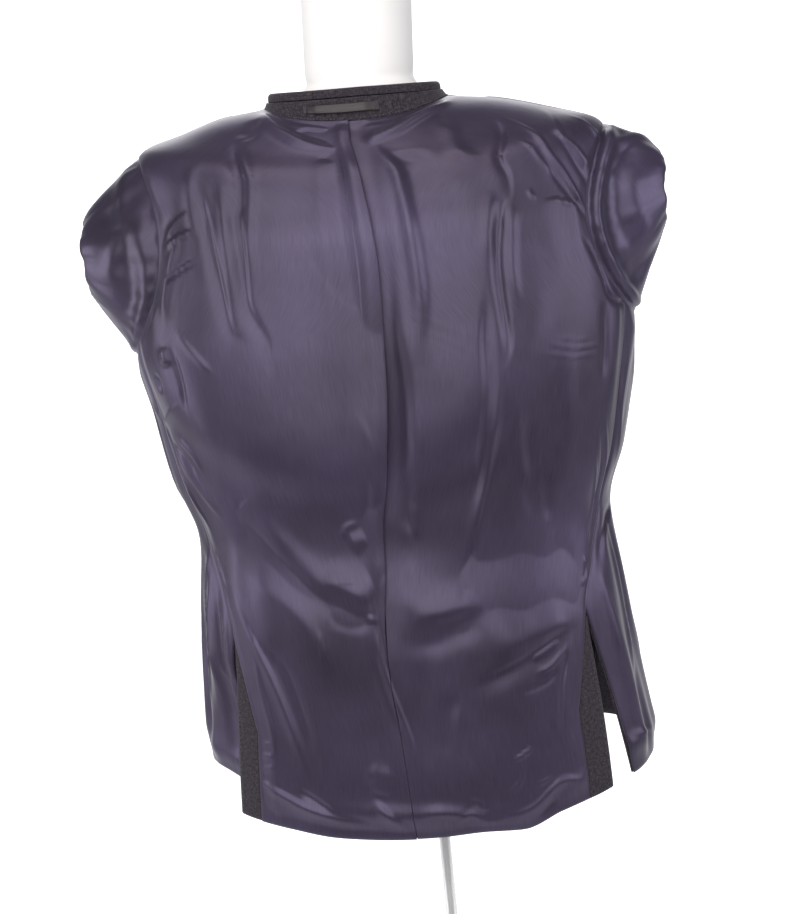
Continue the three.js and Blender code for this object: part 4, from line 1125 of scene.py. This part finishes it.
def makeBackLinings():
    rows = rowsBetween(coat["hemLevel"], coat["facingLevel"], backLining["rowGap"])
    for side, sign in sides:
        seamEdge = stripEdge(side, sign)
        if sign > 0:
            shares = np.linspace(0, 1, backLining["leftColumns"]) ** backLining["crowding"]
            angle, level = panelGrid(rows, shares, backHemAt, pleatAngleAt, seamEdge)
        else:
            shares = np.linspace(0, 1, backLining["rightColumns"]) ** backLining["crowding"]
            shares = 1 - shares[::-1]
            angle, level = panelGrid(
                rows, shares, backHemAt, lambda l: -seamEdge(l),
                lambda l: pleatAngleAt(l) + degreesFor(pleatUnderAt(l), l))
        half = ring["half"](level)
        seam = np.radians(seamEdge(level) - np.abs(angle)) * half
        topSeam = (coat["facingLevel"] - level) * 1.2
        out = liningOut(angle, level, np.minimum(seam, topSeam), level - backHemAt(angle))
        beside = np.radians(angle - pleatAngleAt(level)) * half
        closed = smooth(level, 960, 1010) * smooth(coat["facingLevel"] - level, -30, 40)
        if sign > 0:
            folded = closed * (1 + 0.5 * smooth(level, 1200, 1330) * smooth(level, 1500, 1420))
            near = smooth(pleatFold["eased"] - beside, 0, pleatFold["eased"])
            least = coat["liningOut"] + pleatFold["least"] + pleatFold["proud"] * folded * near
            reach = (beside - pleatFold["lipHalf"]) / pleatFold["lipHalf"]
            out = np.maximum(out, least) + pleatFold["lip"] * folded * np.exp(-reach ** 2)
            angle, level, out = foldUnder(angle, level, out, closed)
        else:
            sunkFrom = pleatFold["sunkFrom"] + pleatFold["sunkLower"] * smooth(level, 1250, 1180)
            sunk = smooth(beside, sunkFrom, pleatFold["sunkTo"]) * smooth(level, 905, 960)
            out = mix(out, coat["liningOut"], sunk)
        makePanel(
            "liningBack" + title(side), angle, level, out, coat["satinThick"],
            "satin", f"back_lining_{side}")


makeBackLinings()
print("back linings made")


sideLining = {"rowGap": 3.4, "columns": 60}


def makeSideLinings():
    rows = rowsBetween(coat["hemLevel"], cornerLevel, sideLining["rowGap"])
    shares = np.linspace(0, 1, sideLining["columns"])
    for side, sign in sides:
        inner = sideEdge(side)
        angle, level = panelGrid(
            rows, shares, lambda a: sideHemAt(sign * a), inner, frontSeamAt, underarm)
        nearest = np.minimum(angle - inner(level), frontSeamAt(level) - angle)
        seam = np.radians(nearest) * ring["deepBack"](level) * 1.6
        seam = np.minimum(seam, underarm(shares)[None, :] - level)
        out = liningOut(sign * angle, level, seam, level - sideHemAt(sign * angle))
        makePanel(
            "liningSide" + title(side), angle, level, out + sideTuck(side, angle, level),
            coat["satinThick"], "satin", f"side_lining_{side}",
            sign)


makeSideLinings()
print("side linings made")

front = {
    "liningTop": 1540,
    "liningGap": 4.5,
    "liningColumns": 56,
    "facingGap": 5,
    "facingColumns": 34,
    "facingThick": 1.1,
    "lift": 1.9,
}


# The fronts lie a little looser where they bend over the shoulder
def shoulderLift(level):
    return front["lift"] * smooth(level, 1425, 1490) * smooth(level, 1602, 1570)


def makeFronts():
    liningRows = rowsBetween(coat["hemLevel"], front["liningTop"], front["liningGap"])
    facingRows = rowsBetween(coat["hemLevel"], coat["neckLevel"], front["facingGap"])
    for side, sign in sides:
        angle, level = panelGrid(
            liningRows, np.linspace(0, 1, front["liningColumns"]), lambda a: sideHemAt(sign * a),
            frontBackEdge, facingEdgeAngle)
        nearest = np.minimum(angle - frontBackEdge(level), facingEdgeAngle(level) - angle)
        seam = np.minimum(np.radians(nearest) * ring["half"](level), front["liningTop"] - level)
        out = liningOut(sign * angle, level, seam, level - sideHemAt(sign * angle))
        makePanel(
            "liningFront" + title(side), angle, level, out + shoulderLift(level),
            coat["satinThick"], "satin", f"front_lining_{side}",
            sign)
        angle, level = panelGrid(
            facingRows, np.linspace(0, 1, front["facingColumns"]), lambda a: sideHemAt(sign * a),
            facingEdgeAngle, frontEdgeAngle)
        makePanel(
            "frontFacing" + title(side), angle, level, coat["facingOut"] + shoulderLift(level),
            front["facingThick"], "wool", f"front_facing_{side}",
            sign)


makeFronts()
print("fronts made")

lapelWidthAt = curve([(1150, 8), (1260, 40), (1400, 82), (1470, 78), (1528, 40), (1544, 34)])
lapel = {
    "low": 1150,
    "high": 1544,
    "rowGap": 5,
    "columns": 20,
    "inside": 2.7,
    "thick": 1.9,
    "ease": 1.1,
    "nearest": 91.4,
    "edgeInset": 0.3,
}


def lapelInnerAngle(level):
    width = degreesFor(lapelWidthAt(level), level) * lapel["ease"]
    return np.maximum(frontEdgeAngle(level) - width, lapel["nearest"])


# The lapels lie folded in, between the wool and the form
def makeLapels():
    rows = rowsBetween(lapel["low"], lapel["high"], lapel["rowGap"])
    shares = np.linspace(0, 1, lapel["columns"])
    for side, sign in sides:
        angle, level = panelGrid(
            rows, shares, backHemAt, lapelInnerAngle,
            lambda l: frontEdgeAngle(l) - lapel["edgeInset"])
        makePanel(
            "lapel" + title(side), angle, level, -lapel["inside"], lapel["thick"],
            "wool", f"lapel_{side}", sign)


makeLapels()

# Rows of the collar's middle: rise over the neck seam, level, distance from the body
collarShape = {
    "end": 99,
    "edgeInset": 1.5,
    "outwardLevel": 1600.0,
    "wall": 2.0,
    "columns": 120,
    "fineRows": 40,
    "rows": [
        (1.5, 1606, 0.4), (4.8, 1606, 0.4), (7.6, 1606, -0.2), (9, 1606, -2.1), (7.6, 1606, -4),
        (2, 1606, -4.6), (0, 1580, -4.4), (0, 1562, -4.4), (0, 1548, -4.4),
    ],
}


# The collar rises from the neck seam, rolls over and lies folded down inside
def makeCollar():
    shares = np.linspace(0, 1, collarShape["columns"])
    rows = []
    for rise, level, out in collarShape["rows"]:
        standing = level == coat["neckLevel"]
        folded = float(frontEdgeAngle(level)) - collarShape["edgeInset"]
        end = collarShape["end"] if standing else folded
        angle = mix(-end, end, shares)
        if standing:
            outward = bodyNormal(angle, collarShape["outwardLevel"] + 0 * angle)
            outward[:, 2] = 0
            outward /= np.linalg.norm(outward, axis=-1, keepdims=True)
            rows.append(bodyPoint(angle, level) + outward * out + np.array([0, 0, rise]))
        else:
            rows.append(bodyAt(angle, level + 0 * angle, out))
    fine = refine(np.array(rows), collarShape["fineRows"])
    fine = fine + gridNormals(fine) * (collarShape["wall"] / 2)
    piece, size, area = makeCloth("coatCollar", fine, collarShape["wall"], "wool", "collar")


# More rows through a coarse grid's rows, on a smooth curve
def refine(grid, count):
    places = np.linspace(0, len(grid) - 1, count)
    k = np.clip(places.astype(int), 0, len(grid) - 2)
    t = (places - k)[:, None, None]
    before, after = grid[np.maximum(k - 1, 0)], grid[np.minimum(k + 2, len(grid) - 1)]
    return between(before, grid[k], grid[k + 1], after, t)


# Angles and levels of a strip that lies level round the neck
def stripGrid(rows, low, high, columns):
    angle = mix(low, high, np.linspace(0, 1, columns))[None, :] + 0 * rows[:, None]
    return angle, rows[:, None] + 0 * angle


neckFacing = {
    "reach": 90,
    "rows": 14,
    "columns": 160,
    "thick": 1.1,
    "below": 1.5,
    "above": 0.2,
    "over": 1.1,
    "tuckedEdge": 1.5,
    "tuckedHalf": 1.4,
}


def makeNeckFacing():
    low, high = coat["facingLevel"] - neckFacing["below"], coat["neckLevel"] - neckFacing["above"]
    rows = np.linspace(low, high, neckFacing["rows"])
    angle, level = stripGrid(rows, -neckFacing["reach"], neckFacing["reach"], neckFacing["columns"])
    rise = (rows - rows[0])[:, None]
    tucked = neckFacing["tuckedEdge"] * np.exp(-rise / neckFacing["tuckedHalf"])
    out = coat["facingOut"] + neckFacing["over"] - tucked
    makePanel(
        "neckFacing", angle, level, out, neckFacing["thick"],
        "wool", "neck_facing")


loop = {
    "from": -15,
    "to": 28.5,
    "low": 1590,
    "high": 1600,
    "rows": 9,
    "columns": 90,
    "out": 4.3,
    "bow": 1.9,
    "bowShares": (0.05, 0.22),
    "crown": 0.5,
    "thick": 0.9,
    "flatWidth": 0.0105,
}


# The loop is sewn at its ends and bows out between them
def makeHangerLoop():
    rows = np.linspace(loop["low"], loop["high"], loop["rows"])
    angle, level = stripGrid(rows, loop["from"], loop["to"], loop["columns"])
    shares = np.linspace(0, 1, loop["columns"])
    inner = np.minimum(shares, 1 - shares)[None, :]
    crown = loop["crown"] * np.sin(math.pi * (rows - rows[0]) / (rows[-1] - rows[0]))[:, None]
    out = loop["out"] + loop["bow"] * smooth(inner, *loop["bowShares"]) + crown
    piece, size, area = makeCloth(
        "hangerLoop", bodyAt(angle, level, out), loop["thick"], "tape", "hanger_loop")
    size = (size[0], max(size[1], loop["flatWidth"]))


# A smooth mesh from points in millimetres and their faces
def makeRounded(name, points, faces, look):
    mesh = bpy.data.meshes.new(name)
    mesh.from_pydata([tuple((point + wornShift) / perMetre) for point in points], [], faces)
    mesh.polygons.foreach_set("use_smooth", [True] * len(faces))
    mesh.materials.append(looks[look])
    piece = bpy.data.objects.new(name, mesh)
    bpy.context.collection.objects.link(piece)
    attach(piece, "root")
    return piece


# Sections of one thread: share of its length and of its thickness
threadSections = [(0, 0.35), (0.12, 0.85), (0.5, 1), (0.88, 0.85), (1, 0.35)]
threadSides = 6


# Short raised threads, each from one place to another, as one mesh of six sided capsules
def makeStitches(name, ends, radius):
    points, faces = [], []
    turns = np.linspace(0, 2 * math.pi, threadSides, endpoint=False)
    for start, finish in ends:
        along = finish - start
        length = np.linalg.norm(along)
        along = along / length
        aside = np.cross(along, [0.31, 0.22, 0.93])
        aside /= np.linalg.norm(aside)
        above = np.cross(along, aside)
        first = len(points)
        for share, thick in threadSections:
            centre = start + along * length * share
            for turn in turns:
                away = aside * math.cos(turn) + above * math.sin(turn)
                points.append(centre + away * radius * thick)
        last = first + threadSides * (len(threadSections) - 1)
        for section in range(first, last, threadSides):
            for j in range(threadSides):
                a, b = section + j, section + (j + 1) % threadSides
                faces.append((a, b, b + threadSides, a + threadSides))
        faces.append(tuple(first + j for j in reversed(range(threadSides))))
        faces.append(tuple(last + j for j in range(threadSides)))
    makeRounded(name, points, faces, "thread")


stitches = {
    "loopEnds": (-13.6, 27.2),
    "loopLow": 1590.6,
    "loopHigh": 1599.8,
    "loopGap": 0.85,
    "loopReach": 1.3,
    "loopOut": 5.5,
    "loopRadius": 0.32,
    "neckReach": 86,
    "neckGap": 2.1,
    "neckLength": 1.0,
    "neckAbove": 2.6,
    "neckOut": 3.75,
    "stripLow": 735,
    "stripHigh": 905,
    "stripOut": 0.62,
    "stripInset": 4.0,
    "stripGap": 5.0,
    "stripLength": 2.9,
    "edgeRadius": 0.28,
    "looseOut": (4.2, 6.6),
    "looseRadius": 0.16,
}
# angle, level, drift and drop of the threads that hang loose under the neck facing
looseEnds = [(-4, 1581, 2.2, -5), (6, 1582, -1.4, -7), (9, 1580, 1.8, -4), (-18, 1581, -2, -6)]


def makeAllStitches():
    ends = []
    out, reach = stitches["loopOut"], stitches["loopReach"]
    for angle in stitches["loopEnds"]:
        for level in np.arange(stitches["loopLow"], stitches["loopHigh"], stitches["loopGap"]):
            ends.append((bodyAt(angle - reach, level, out), bodyAt(angle + reach, level, out)))
    makeStitches("loopStitches", ends, stitches["loopRadius"])
    ends = []
    out, level = stitches["neckOut"], coat["facingLevel"] + stitches["neckAbove"]
    for angle in np.arange(-stitches["neckReach"], stitches["neckReach"], stitches["neckGap"]):
        beside = angle + stitches["neckLength"]
        ends.append((bodyAt(angle, level, out), bodyAt(beside, level, out)))
    out = coat["facingOut"] + stitches["stripOut"]
    for side, sign in sides:
        edge = backEdge(side)
        for level in np.arange(stitches["stripLow"], stitches["stripHigh"], stitches["stripGap"]):
            inset = degreesBeside(stitches["stripInset"], sign * edge(level), level)
            angle = sign * (edge(level) - float(inset))
            top = level + stitches["stripLength"]
            ends.append((bodyAt(angle, level, out), bodyAt(angle, top, out)))
    makeStitches("edgeStitches", ends, stitches["edgeRadius"])
    ends = []
    near, far = stitches["looseOut"]
    for angle, level, drift, drop in looseEnds:
        ends.append((bodyAt(angle, level, near), bodyAt(angle + drift, level + drop, far)))
    makeStitches("looseThreads", ends, stitches["looseRadius"])


makeCollar()
makeNeckFacing()
makeHangerLoop()
makeAllStitches()
print("collar, neck facing and loop made")

sleeve = {
    "around": 192,
    "rings": 240,
    "wall": 2.0,
    "seam": [(-4.0, 1.2), (0.5, 2.6)],
    "crescent": 0.0042,
    "shift": {"left": (-4, 4), "right": (-9, 20)},
    "gathers": 27,
    "gatherHeight": 0.4,
    "kinked": 0.2,
}
# share of the way from the armhole to the lip, and how far the puff bulges
puffSections = [(0.1, 5), (0.3, 9), (0.52, 12), (0.74, 12), (0.92, 7)]
# place across, height, turn, half thickness and half width of the sleeve's sections
sleeveSections = [
    (303, 1327, 0, 34, 38), (301, 1327, 0, 28, 33), (292, 1328, 0, 25, 31),
    (268, 1327, 0, 25, 34), (242, 1321, 8, 24, 42), (218, 1306, 38, 20, 52),
    (201, 1280, 68, 15, 62), (192, 1245, 86, 12, 70), (188, 1195, 90, 11, 75),
    (186, 1110, 90, 11, 75), (183, 1020, 90, 10, 72), (183, 930, 90, 10, 69),
    (185, 852, 90, 11, 66),
]


def sleeveRing(side, sign, section, turns):
    x, z, turn, thick, wide = section
    lean = math.radians(turn)
    inPuff = float(smooth(x, 225, 285))
    out, up = sleeve["shift"][side]
    y = wide * np.cos(turns)
    across = thick * np.sin(turns)
    bend = float(smooth(turn, 0, 90)) * sleeve["crescent"] * y * y
    px = x + out * inPuff - math.sin(lean) * across - bend
    pz = z + up * inPuff + math.cos(lean) * across
    return np.stack([sign * px + float(ring["lean"](1300)), y, pz], -1)


# Waves of cloth over a sleeve's puff: waves round it, waves along it, height and start
puffWaves = [
    (4, 0.2, 1.3, 0.3), (7, -0.3, 1.0, 2.2), (11, 0.35, 0.45, 4.4), (17, -0.25, 0.2, 1.1),
    (2, 0.6, 1.3, 0.9),
]
# Deep folds of the puffs: side, from and to place along it, turn, half width, depth
puffFolds = [
    ("right", 1.7, 1.9, -1.3, 1.25, 0.42, -6.5), ("right", 3.2, 3.0, -1.0, 1.2, 0.8, 4.5),
    ("right", 2.2, 4.6, 0.9, 1.7, 0.5, -2.8), ("right", 5.0, 3.2, -0.9, 0.7, 0.6, -2.2),
    ("left", 1.6, 2.4, -1.4, 0.5, 0.6, -2.8), ("left", 2.2, 4.2, -1.1, 1.0, 0.8, 2.4),
    ("left", 4.2, 2.2, -0.2, 1.3, 0.5, -2.6),
]


def puffHeight(side, place, turns):
    turned = (turns + math.pi) % (2 * math.pi) - math.pi
    flip = 1.7 if side == "left" else 0
    total = np.zeros(np.broadcast(place, turns).shape)
    for around, along, height, start in puffWaves:
        wander = 0.6 * np.sin(place * 0.5 + 2 * turns)
        wave = np.sin(around * turns + along * place + start + flip + wander)
        kink = 1 - 2 * np.abs(wave)
        total = total + height * ((1 - sleeve["kinked"]) * wave + sleeve["kinked"] * kink)
    gathers = np.sin(sleeve["gathers"] * turns + 2.2 * np.sin(3 * turns + flip) + 0.5 * place)
    nearSeam = smooth(place, 0.9, 1.5) * smooth(place, 3.4, 1.9)
    total = total * smooth(place, 1.2, 3.0) + sleeve["gatherHeight"] * gathers * nearSeam
    for foldSide, start, finish, low, high, width, depth in puffFolds:
        if foldSide != side:
            continue
        share = np.clip((turned - low) / (high - low), 0, 1)
        beside = (place - mix(start, finish, share)) / width
        inside = smooth(turned, low - 0.3, low + 0.25) * smooth(turned, high + 0.3, high - 0.25)
        total = total + depth * inside * np.exp(-beside * beside)
    return total * smooth(place, 0.6, 1.3) * smooth(place, 8.6, 6.6)


def makeSleeves():
    turns = np.linspace(0, 2 * math.pi, sleeve["around"], endpoint=False)
    for side, sign in sides:
        rings = []
        for inset, out in sleeve["seam"]:
            reach = coat["armReach"] - float(degreesFor(inset * 1.3, coat["armLevel"]))
            angle = coat["armAngle"] - reach * np.cos(turns)
            level = coat["armLevel"] + (coat["armRise"] - inset) * np.sin(turns)
            rings.append(bodyAt(sign * angle, level, out))
        seam = rings[-1]
        lip = sleeveRing(side, sign, sleeveSections[0], turns)
        for share, bulge in puffSections:
            blended = mix(seam, lip, share)
            blended[:, 0] += sign * bulge * (0.6 + 0.4 * np.sin(turns))
            rings.append(blended)
        rings += [sleeveRing(side, sign, section, turns) for section in sleeveSections]
        grid = refine(np.array(rings), sleeve["rings"])
        if sign < 0:
            grid = grid[:, ::-1]
        place = np.linspace(0, len(rings) - 1, sleeve["rings"])[:, None]
        waves = puffHeight(side, place, turns[None, :] if sign > 0 else turns[None, ::-1])
        grid = grid + gridNormals(grid, True) * waves[..., None]
        piece, size, area = makeCloth(
            "sleeve" + title(side), grid, sleeve["wall"], "satin", f"sleeve_{side}",
            round=True)


makeSleeves()
print("sleeves made")

# side height, back height, front height, half width, lean, depth back, depth front
formRings = [
    (800, 800, 800, 138, 0, 92, 78), (806, 806, 806, 146, 0, 99, 85),
    (900, 900, 900, 156, 1, 108, 92), (980, 980, 980, 148, 2, 98, 90),
    (1050, 1050, 1050, 134, 3, 86, 84),
    (1150, 1150, 1150, 144, 4, 92, 92), (1250, 1250, 1250, 157, 4, 100, 96),
    (1330, 1330, 1328, 167, 3, 100, 90), (1385, 1372, 1366, 175, 2, 92, 76),
    (1418, 1390, 1382, 182, 2, 84, 66),
]
# level, and how far the form lies under the wool at the back and at the front
formShoulders = [
    (1480, 2.3, 6.5), (1496, 2.3, 6.5), (1528, 3.4, 7), (1544, 6.5, 8), (1562, 7.5, 8),
    (1580, 8, 8), (1600, 8, 8),
]
# height, radius and middle of the neck's rings
formNeck = [
    (1482, 57, 5, -7), (1500, 56, 4, -6), (1535, 56, 2, -5), (1572, 56, 0, -4), (1583, 52, 0, -4),
    (1589, 40, 0, -4), (1591, 22, 0, -4), (1591.4, 4, 0, -4),
]


form = {"around": 128, "rings": 210, "footShares": (0.04, 0.5, 0.9)}


def makeForm():
    angles = np.linspace(0, 360, form["around"], endpoint=False)
    names = ("side", "back", "front", "half", "lean", "deepBack", "deepFront")
    rings = []
    foot = dict(zip(names, formRings[0]))
    for share in form["footShares"]:
        outer = ringPoint(foot, angles)
        middle = outer.mean(0)
        rings.append(middle + (outer - middle) * share)
    for row in formRings:
        point = ringPoint(dict(zip(names, row)), angles)
        point[:, 2] += tiltAt(point[:, 0]) * float(smooth(row[0], 1300, armTop))
        rings.append(point)
    for level, back, front in formShoulders:
        fromBack = np.minimum(angles, 360 - angles)
        under = mix(back, front, smooth(fromBack, 92, 108))
        rings.append(bodyAt(angles, level + 0 * angles, -under))
    for height, radius, x, y in formNeck:
        turn = np.radians(angles)
        across, along = x + radius * np.sin(turn), y + radius * np.cos(turn)
        rings.append(np.stack([across, along, height + 0 * turn], -1))
    grid = refine(np.array(rings), form["rings"])
    rowCount, width = grid.shape[:2]
    faces = []
    for i in range(rowCount - 1):
        for j in range(width):
            a, d = i * width + j, i * width + (j + 1) % width
            faces.append((a, a + width, d + width, d))
    faces.append(tuple(range(width)))
    faces.append(tuple(reversed(range((rowCount - 1) * width, rowCount * width))))
    torso = makeRounded("dressForm", grid.reshape(-1, 3), faces, "jersey")
    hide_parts("form_torso")


makeForm()
print("form made")


def clearSelection():
    if bpy.context.object and bpy.context.object.mode != "OBJECT":
        bpy.ops.object.mode_set(mode="OBJECT")
    bpy.ops.object.select_all(action="DESELECT")


def makeActive(piece):
    clearSelection()
    piece.select_set(True)
    bpy.context.view_layer.objects.active = piece


def addCylinder(name, radius, low, high, count):
    clearSelection()
    bpy.ops.mesh.primitive_cylinder_add(
        vertices=count, radius=radius, depth=high - low, location=(0, 0, (low + high) / 2))
    piece = bpy.context.object
    piece.name = name
    piece.data.name = name
    return piece


def selectFaces(piece, wanted):
    bpy.ops.object.mode_set(mode="OBJECT")
    for polygon in piece.data.polygons:
        polygon.select = bool(wanted(polygon.center, polygon.normal))
    for edge in piece.data.edges:
        edge.select = False
    for vertex in piece.data.vertices:
        vertex.select = False
    bpy.ops.object.mode_set(mode="EDIT")
    bpy.ops.mesh.select_mode(type="FACE")


def facesUp(centre, normal):
    return normal.z > 0.9


def facesDown(centre, normal):
    return normal.z < -0.9


# Insets the picked faces and lifts what is left of them
def step(thickness, lift):
    bpy.ops.mesh.inset(thickness=thickness, depth=0)
    if lift:
        bpy.ops.transform.translate(value=(0, 0, lift))


# Degrees of an edge from which it is rounded, and up to which it is shaded smooth
hardEdge = {"rounded": 28, "smooth": 32}


def finishHard(piece, bevel, look, node, segments=3):
    bpy.ops.object.mode_set(mode="OBJECT")
    makeActive(piece)
    rounding = piece.modifiers.new("rounding", "BEVEL")
    rounding.width = bevel
    rounding.segments = segments
    rounding.limit_method = "ANGLE"
    rounding.angle_limit = math.radians(hardEdge["rounded"])
    bpy.ops.object.modifier_apply(modifier="rounding")
    bpy.ops.object.transform_apply(location=True, rotation=True, scale=True)
    bpy.ops.object.shade_smooth_by_angle(angle=math.radians(hardEdge["smooth"]))
    piece.data.materials.clear()
    piece.data.materials.append(looks[look])
    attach(piece, "root")
    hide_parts(node)
    clearSelection()


# Each step of a face is an inset and a lift
stand = {
    "baseSides": 128,
    "baseRadius": 0.150,
    "baseHeight": 0.008,
    "baseSteps": [(0.006, 0.0), (0.0012, 0.0009), (0.110, 0.0012), (0.006, 0.003)],
    "hubHeight": 0.012,
    "hubStep": (0.0035, 0.006),
    "sleeveHeight": 0.0087,
    "underStep": (0.008, 0.0012),
    "hubTop": 0.040,
    "gap": 0.0003,
    "rodSides": 40,
    "rodRadius": 0.0065,
    "groove": (0.41, 0.413),
    "grooveDepth": 0.0006,
    "socketSides": 64,
    "socketRadius": 0.013,
    "socketLow": 0.766,
    "socketStep": (0.0035, 0.0008),
    "plateLow": 0.794,
    "plateRadius": 0.030,
    "plateThick": 0.0055,
    "bevel": 0.0010,
    "rodBevel": 0.0005,
}


def extrudeUp(height):
    bpy.ops.mesh.extrude_region_move(TRANSFORM_OT_translate={"value": (0, 0, height)})


def makeBase():
    base = addCylinder(
        "standBase", stand["baseRadius"], 0, stand["baseHeight"], stand["baseSides"])
    selectFaces(base, facesUp)
    for inset, lift in stand["baseSteps"]:
        step(inset, lift)
    extrudeUp(stand["hubHeight"])
    step(*stand["hubStep"])
    extrudeUp(stand["sleeveHeight"])
    selectFaces(base, facesDown)
    step(*stand["underStep"])
    finishHard(base, stand["bevel"], "chrome", "stand_base")


# The rod has a fine groove where its two lengths slide
def makeRod():
    low, high = stand["hubTop"] + stand["gap"], stand["socketLow"] - stand["gap"]
    rod = addCylinder("standRod", stand["rodRadius"], low, high, stand["rodSides"])
    bpy.ops.object.mode_set(mode="EDIT")
    for height in stand["groove"]:
        bpy.ops.mesh.select_all(action="SELECT")
        bpy.ops.mesh.bisect(plane_co=(0, 0, height), plane_no=(0, 0, 1))
    middle = sum(stand["groove"]) / 2
    selectFaces(rod, lambda centre, normal: abs(centre.z - middle) < 0.001)
    bpy.ops.mesh.extrude_region_shrink_fatten(
        TRANSFORM_OT_shrink_fatten={"value": -stand["grooveDepth"]})
    finishHard(rod, stand["rodBevel"], "chrome", "stand_rod", 2)


def makeSocket():
    socket = addCylinder(
        "standSocket", stand["socketRadius"], stand["socketLow"], stand["plateLow"],
        stand["socketSides"])
    selectFaces(socket, facesUp)
    extrudeUp(0)
    wider = stand["plateRadius"] / stand["socketRadius"]
    bpy.ops.transform.resize(value=(wider, wider, 1))
    extrudeUp(stand["plateThick"])
    underneath = (stand["socketLow"] + stand["plateLow"]) / 2
    selectFaces(socket, lambda centre, normal: facesDown(centre, normal) and centre.z < underneath)
    step(*stand["socketStep"])
    finishHard(socket, stand["bevel"], "chrome", "stand_socket")


makeBase()
makeRod()
makeSocket()
print("stand made")

button = {
    "sides": 64,
    "radius": 0.010,
    "thick": 0.003,
    "rim": 0.0012,
    "dish": -0.0008,
    "hole": 0.0011,
    "holeSides": 20,
    "holeDepth": 0.02,
    "holeMiddle": 0.001,
    "spread": 0.0021,
    "bevel": 0.00028,
    "levels": (1150, 1040),
    "inset": 20,
    "stands": 0.8,
}


# A four hole button, modelled once lying flat and set on the wool face for each place
def makeButton():
    disc = addCylinder("buttonBlank", button["radius"], 0, button["thick"], button["sides"])
    selectFaces(disc, facesUp)
    step(button["rim"], 0.0)
    step(button["rim"], button["dish"])
    bpy.ops.object.mode_set(mode="OBJECT")
    holes = []
    for across, along in ((-1, -1), (-1, 1), (1, -1), (1, 1)):
        clearSelection()
        bpy.ops.mesh.primitive_cylinder_add(
            vertices=button["holeSides"], radius=button["hole"], depth=button["holeDepth"],
            location=(across * button["spread"], along * button["spread"], button["holeMiddle"]))
        holes.append(bpy.context.object)
    for hole in holes:
        makeActive(disc)
        cut = disc.modifiers.new("hole", "BOOLEAN")
        cut.object = hole
        cut.operation = "DIFFERENCE"
        cut.solver = "EXACT"
        bpy.ops.object.modifier_apply(modifier="hole")
        bpy.data.objects.remove(hole, do_unlink=True)
    return disc


def setButton(disc, name, level, node):
    angle = -(frontEdgeAngle(level) - degreesFor(button["inset"], level))
    seat = bodyAt(angle, level, -coat["woolThick"] - button["stands"]) + wornShift
    inward = -bodyNormal(angle, level)
    copied = bpy.data.objects.new(name, disc.data.copy())
    copied.data.name = name
    bpy.context.collection.objects.link(copied)
    turn = Vector(inward).to_track_quat("Z", "Y").to_matrix().to_4x4()
    copied.data.transform(Matrix.Translation(Vector(seat / perMetre)) @ turn)
    makeActive(copied)
    finishHard(copied, button["bevel"], "horn", node, 2)


def makeButtons():
    disc = makeButton()
    clearSelection()
    for index, level in enumerate(button["levels"]):
        setButton(disc, f"frontButton{index + 1}", float(level), f"front_button_{index + 1}")
    bpy.data.objects.remove(disc, do_unlink=True)


makeButtons()
print("buttons made")

print("finishing")
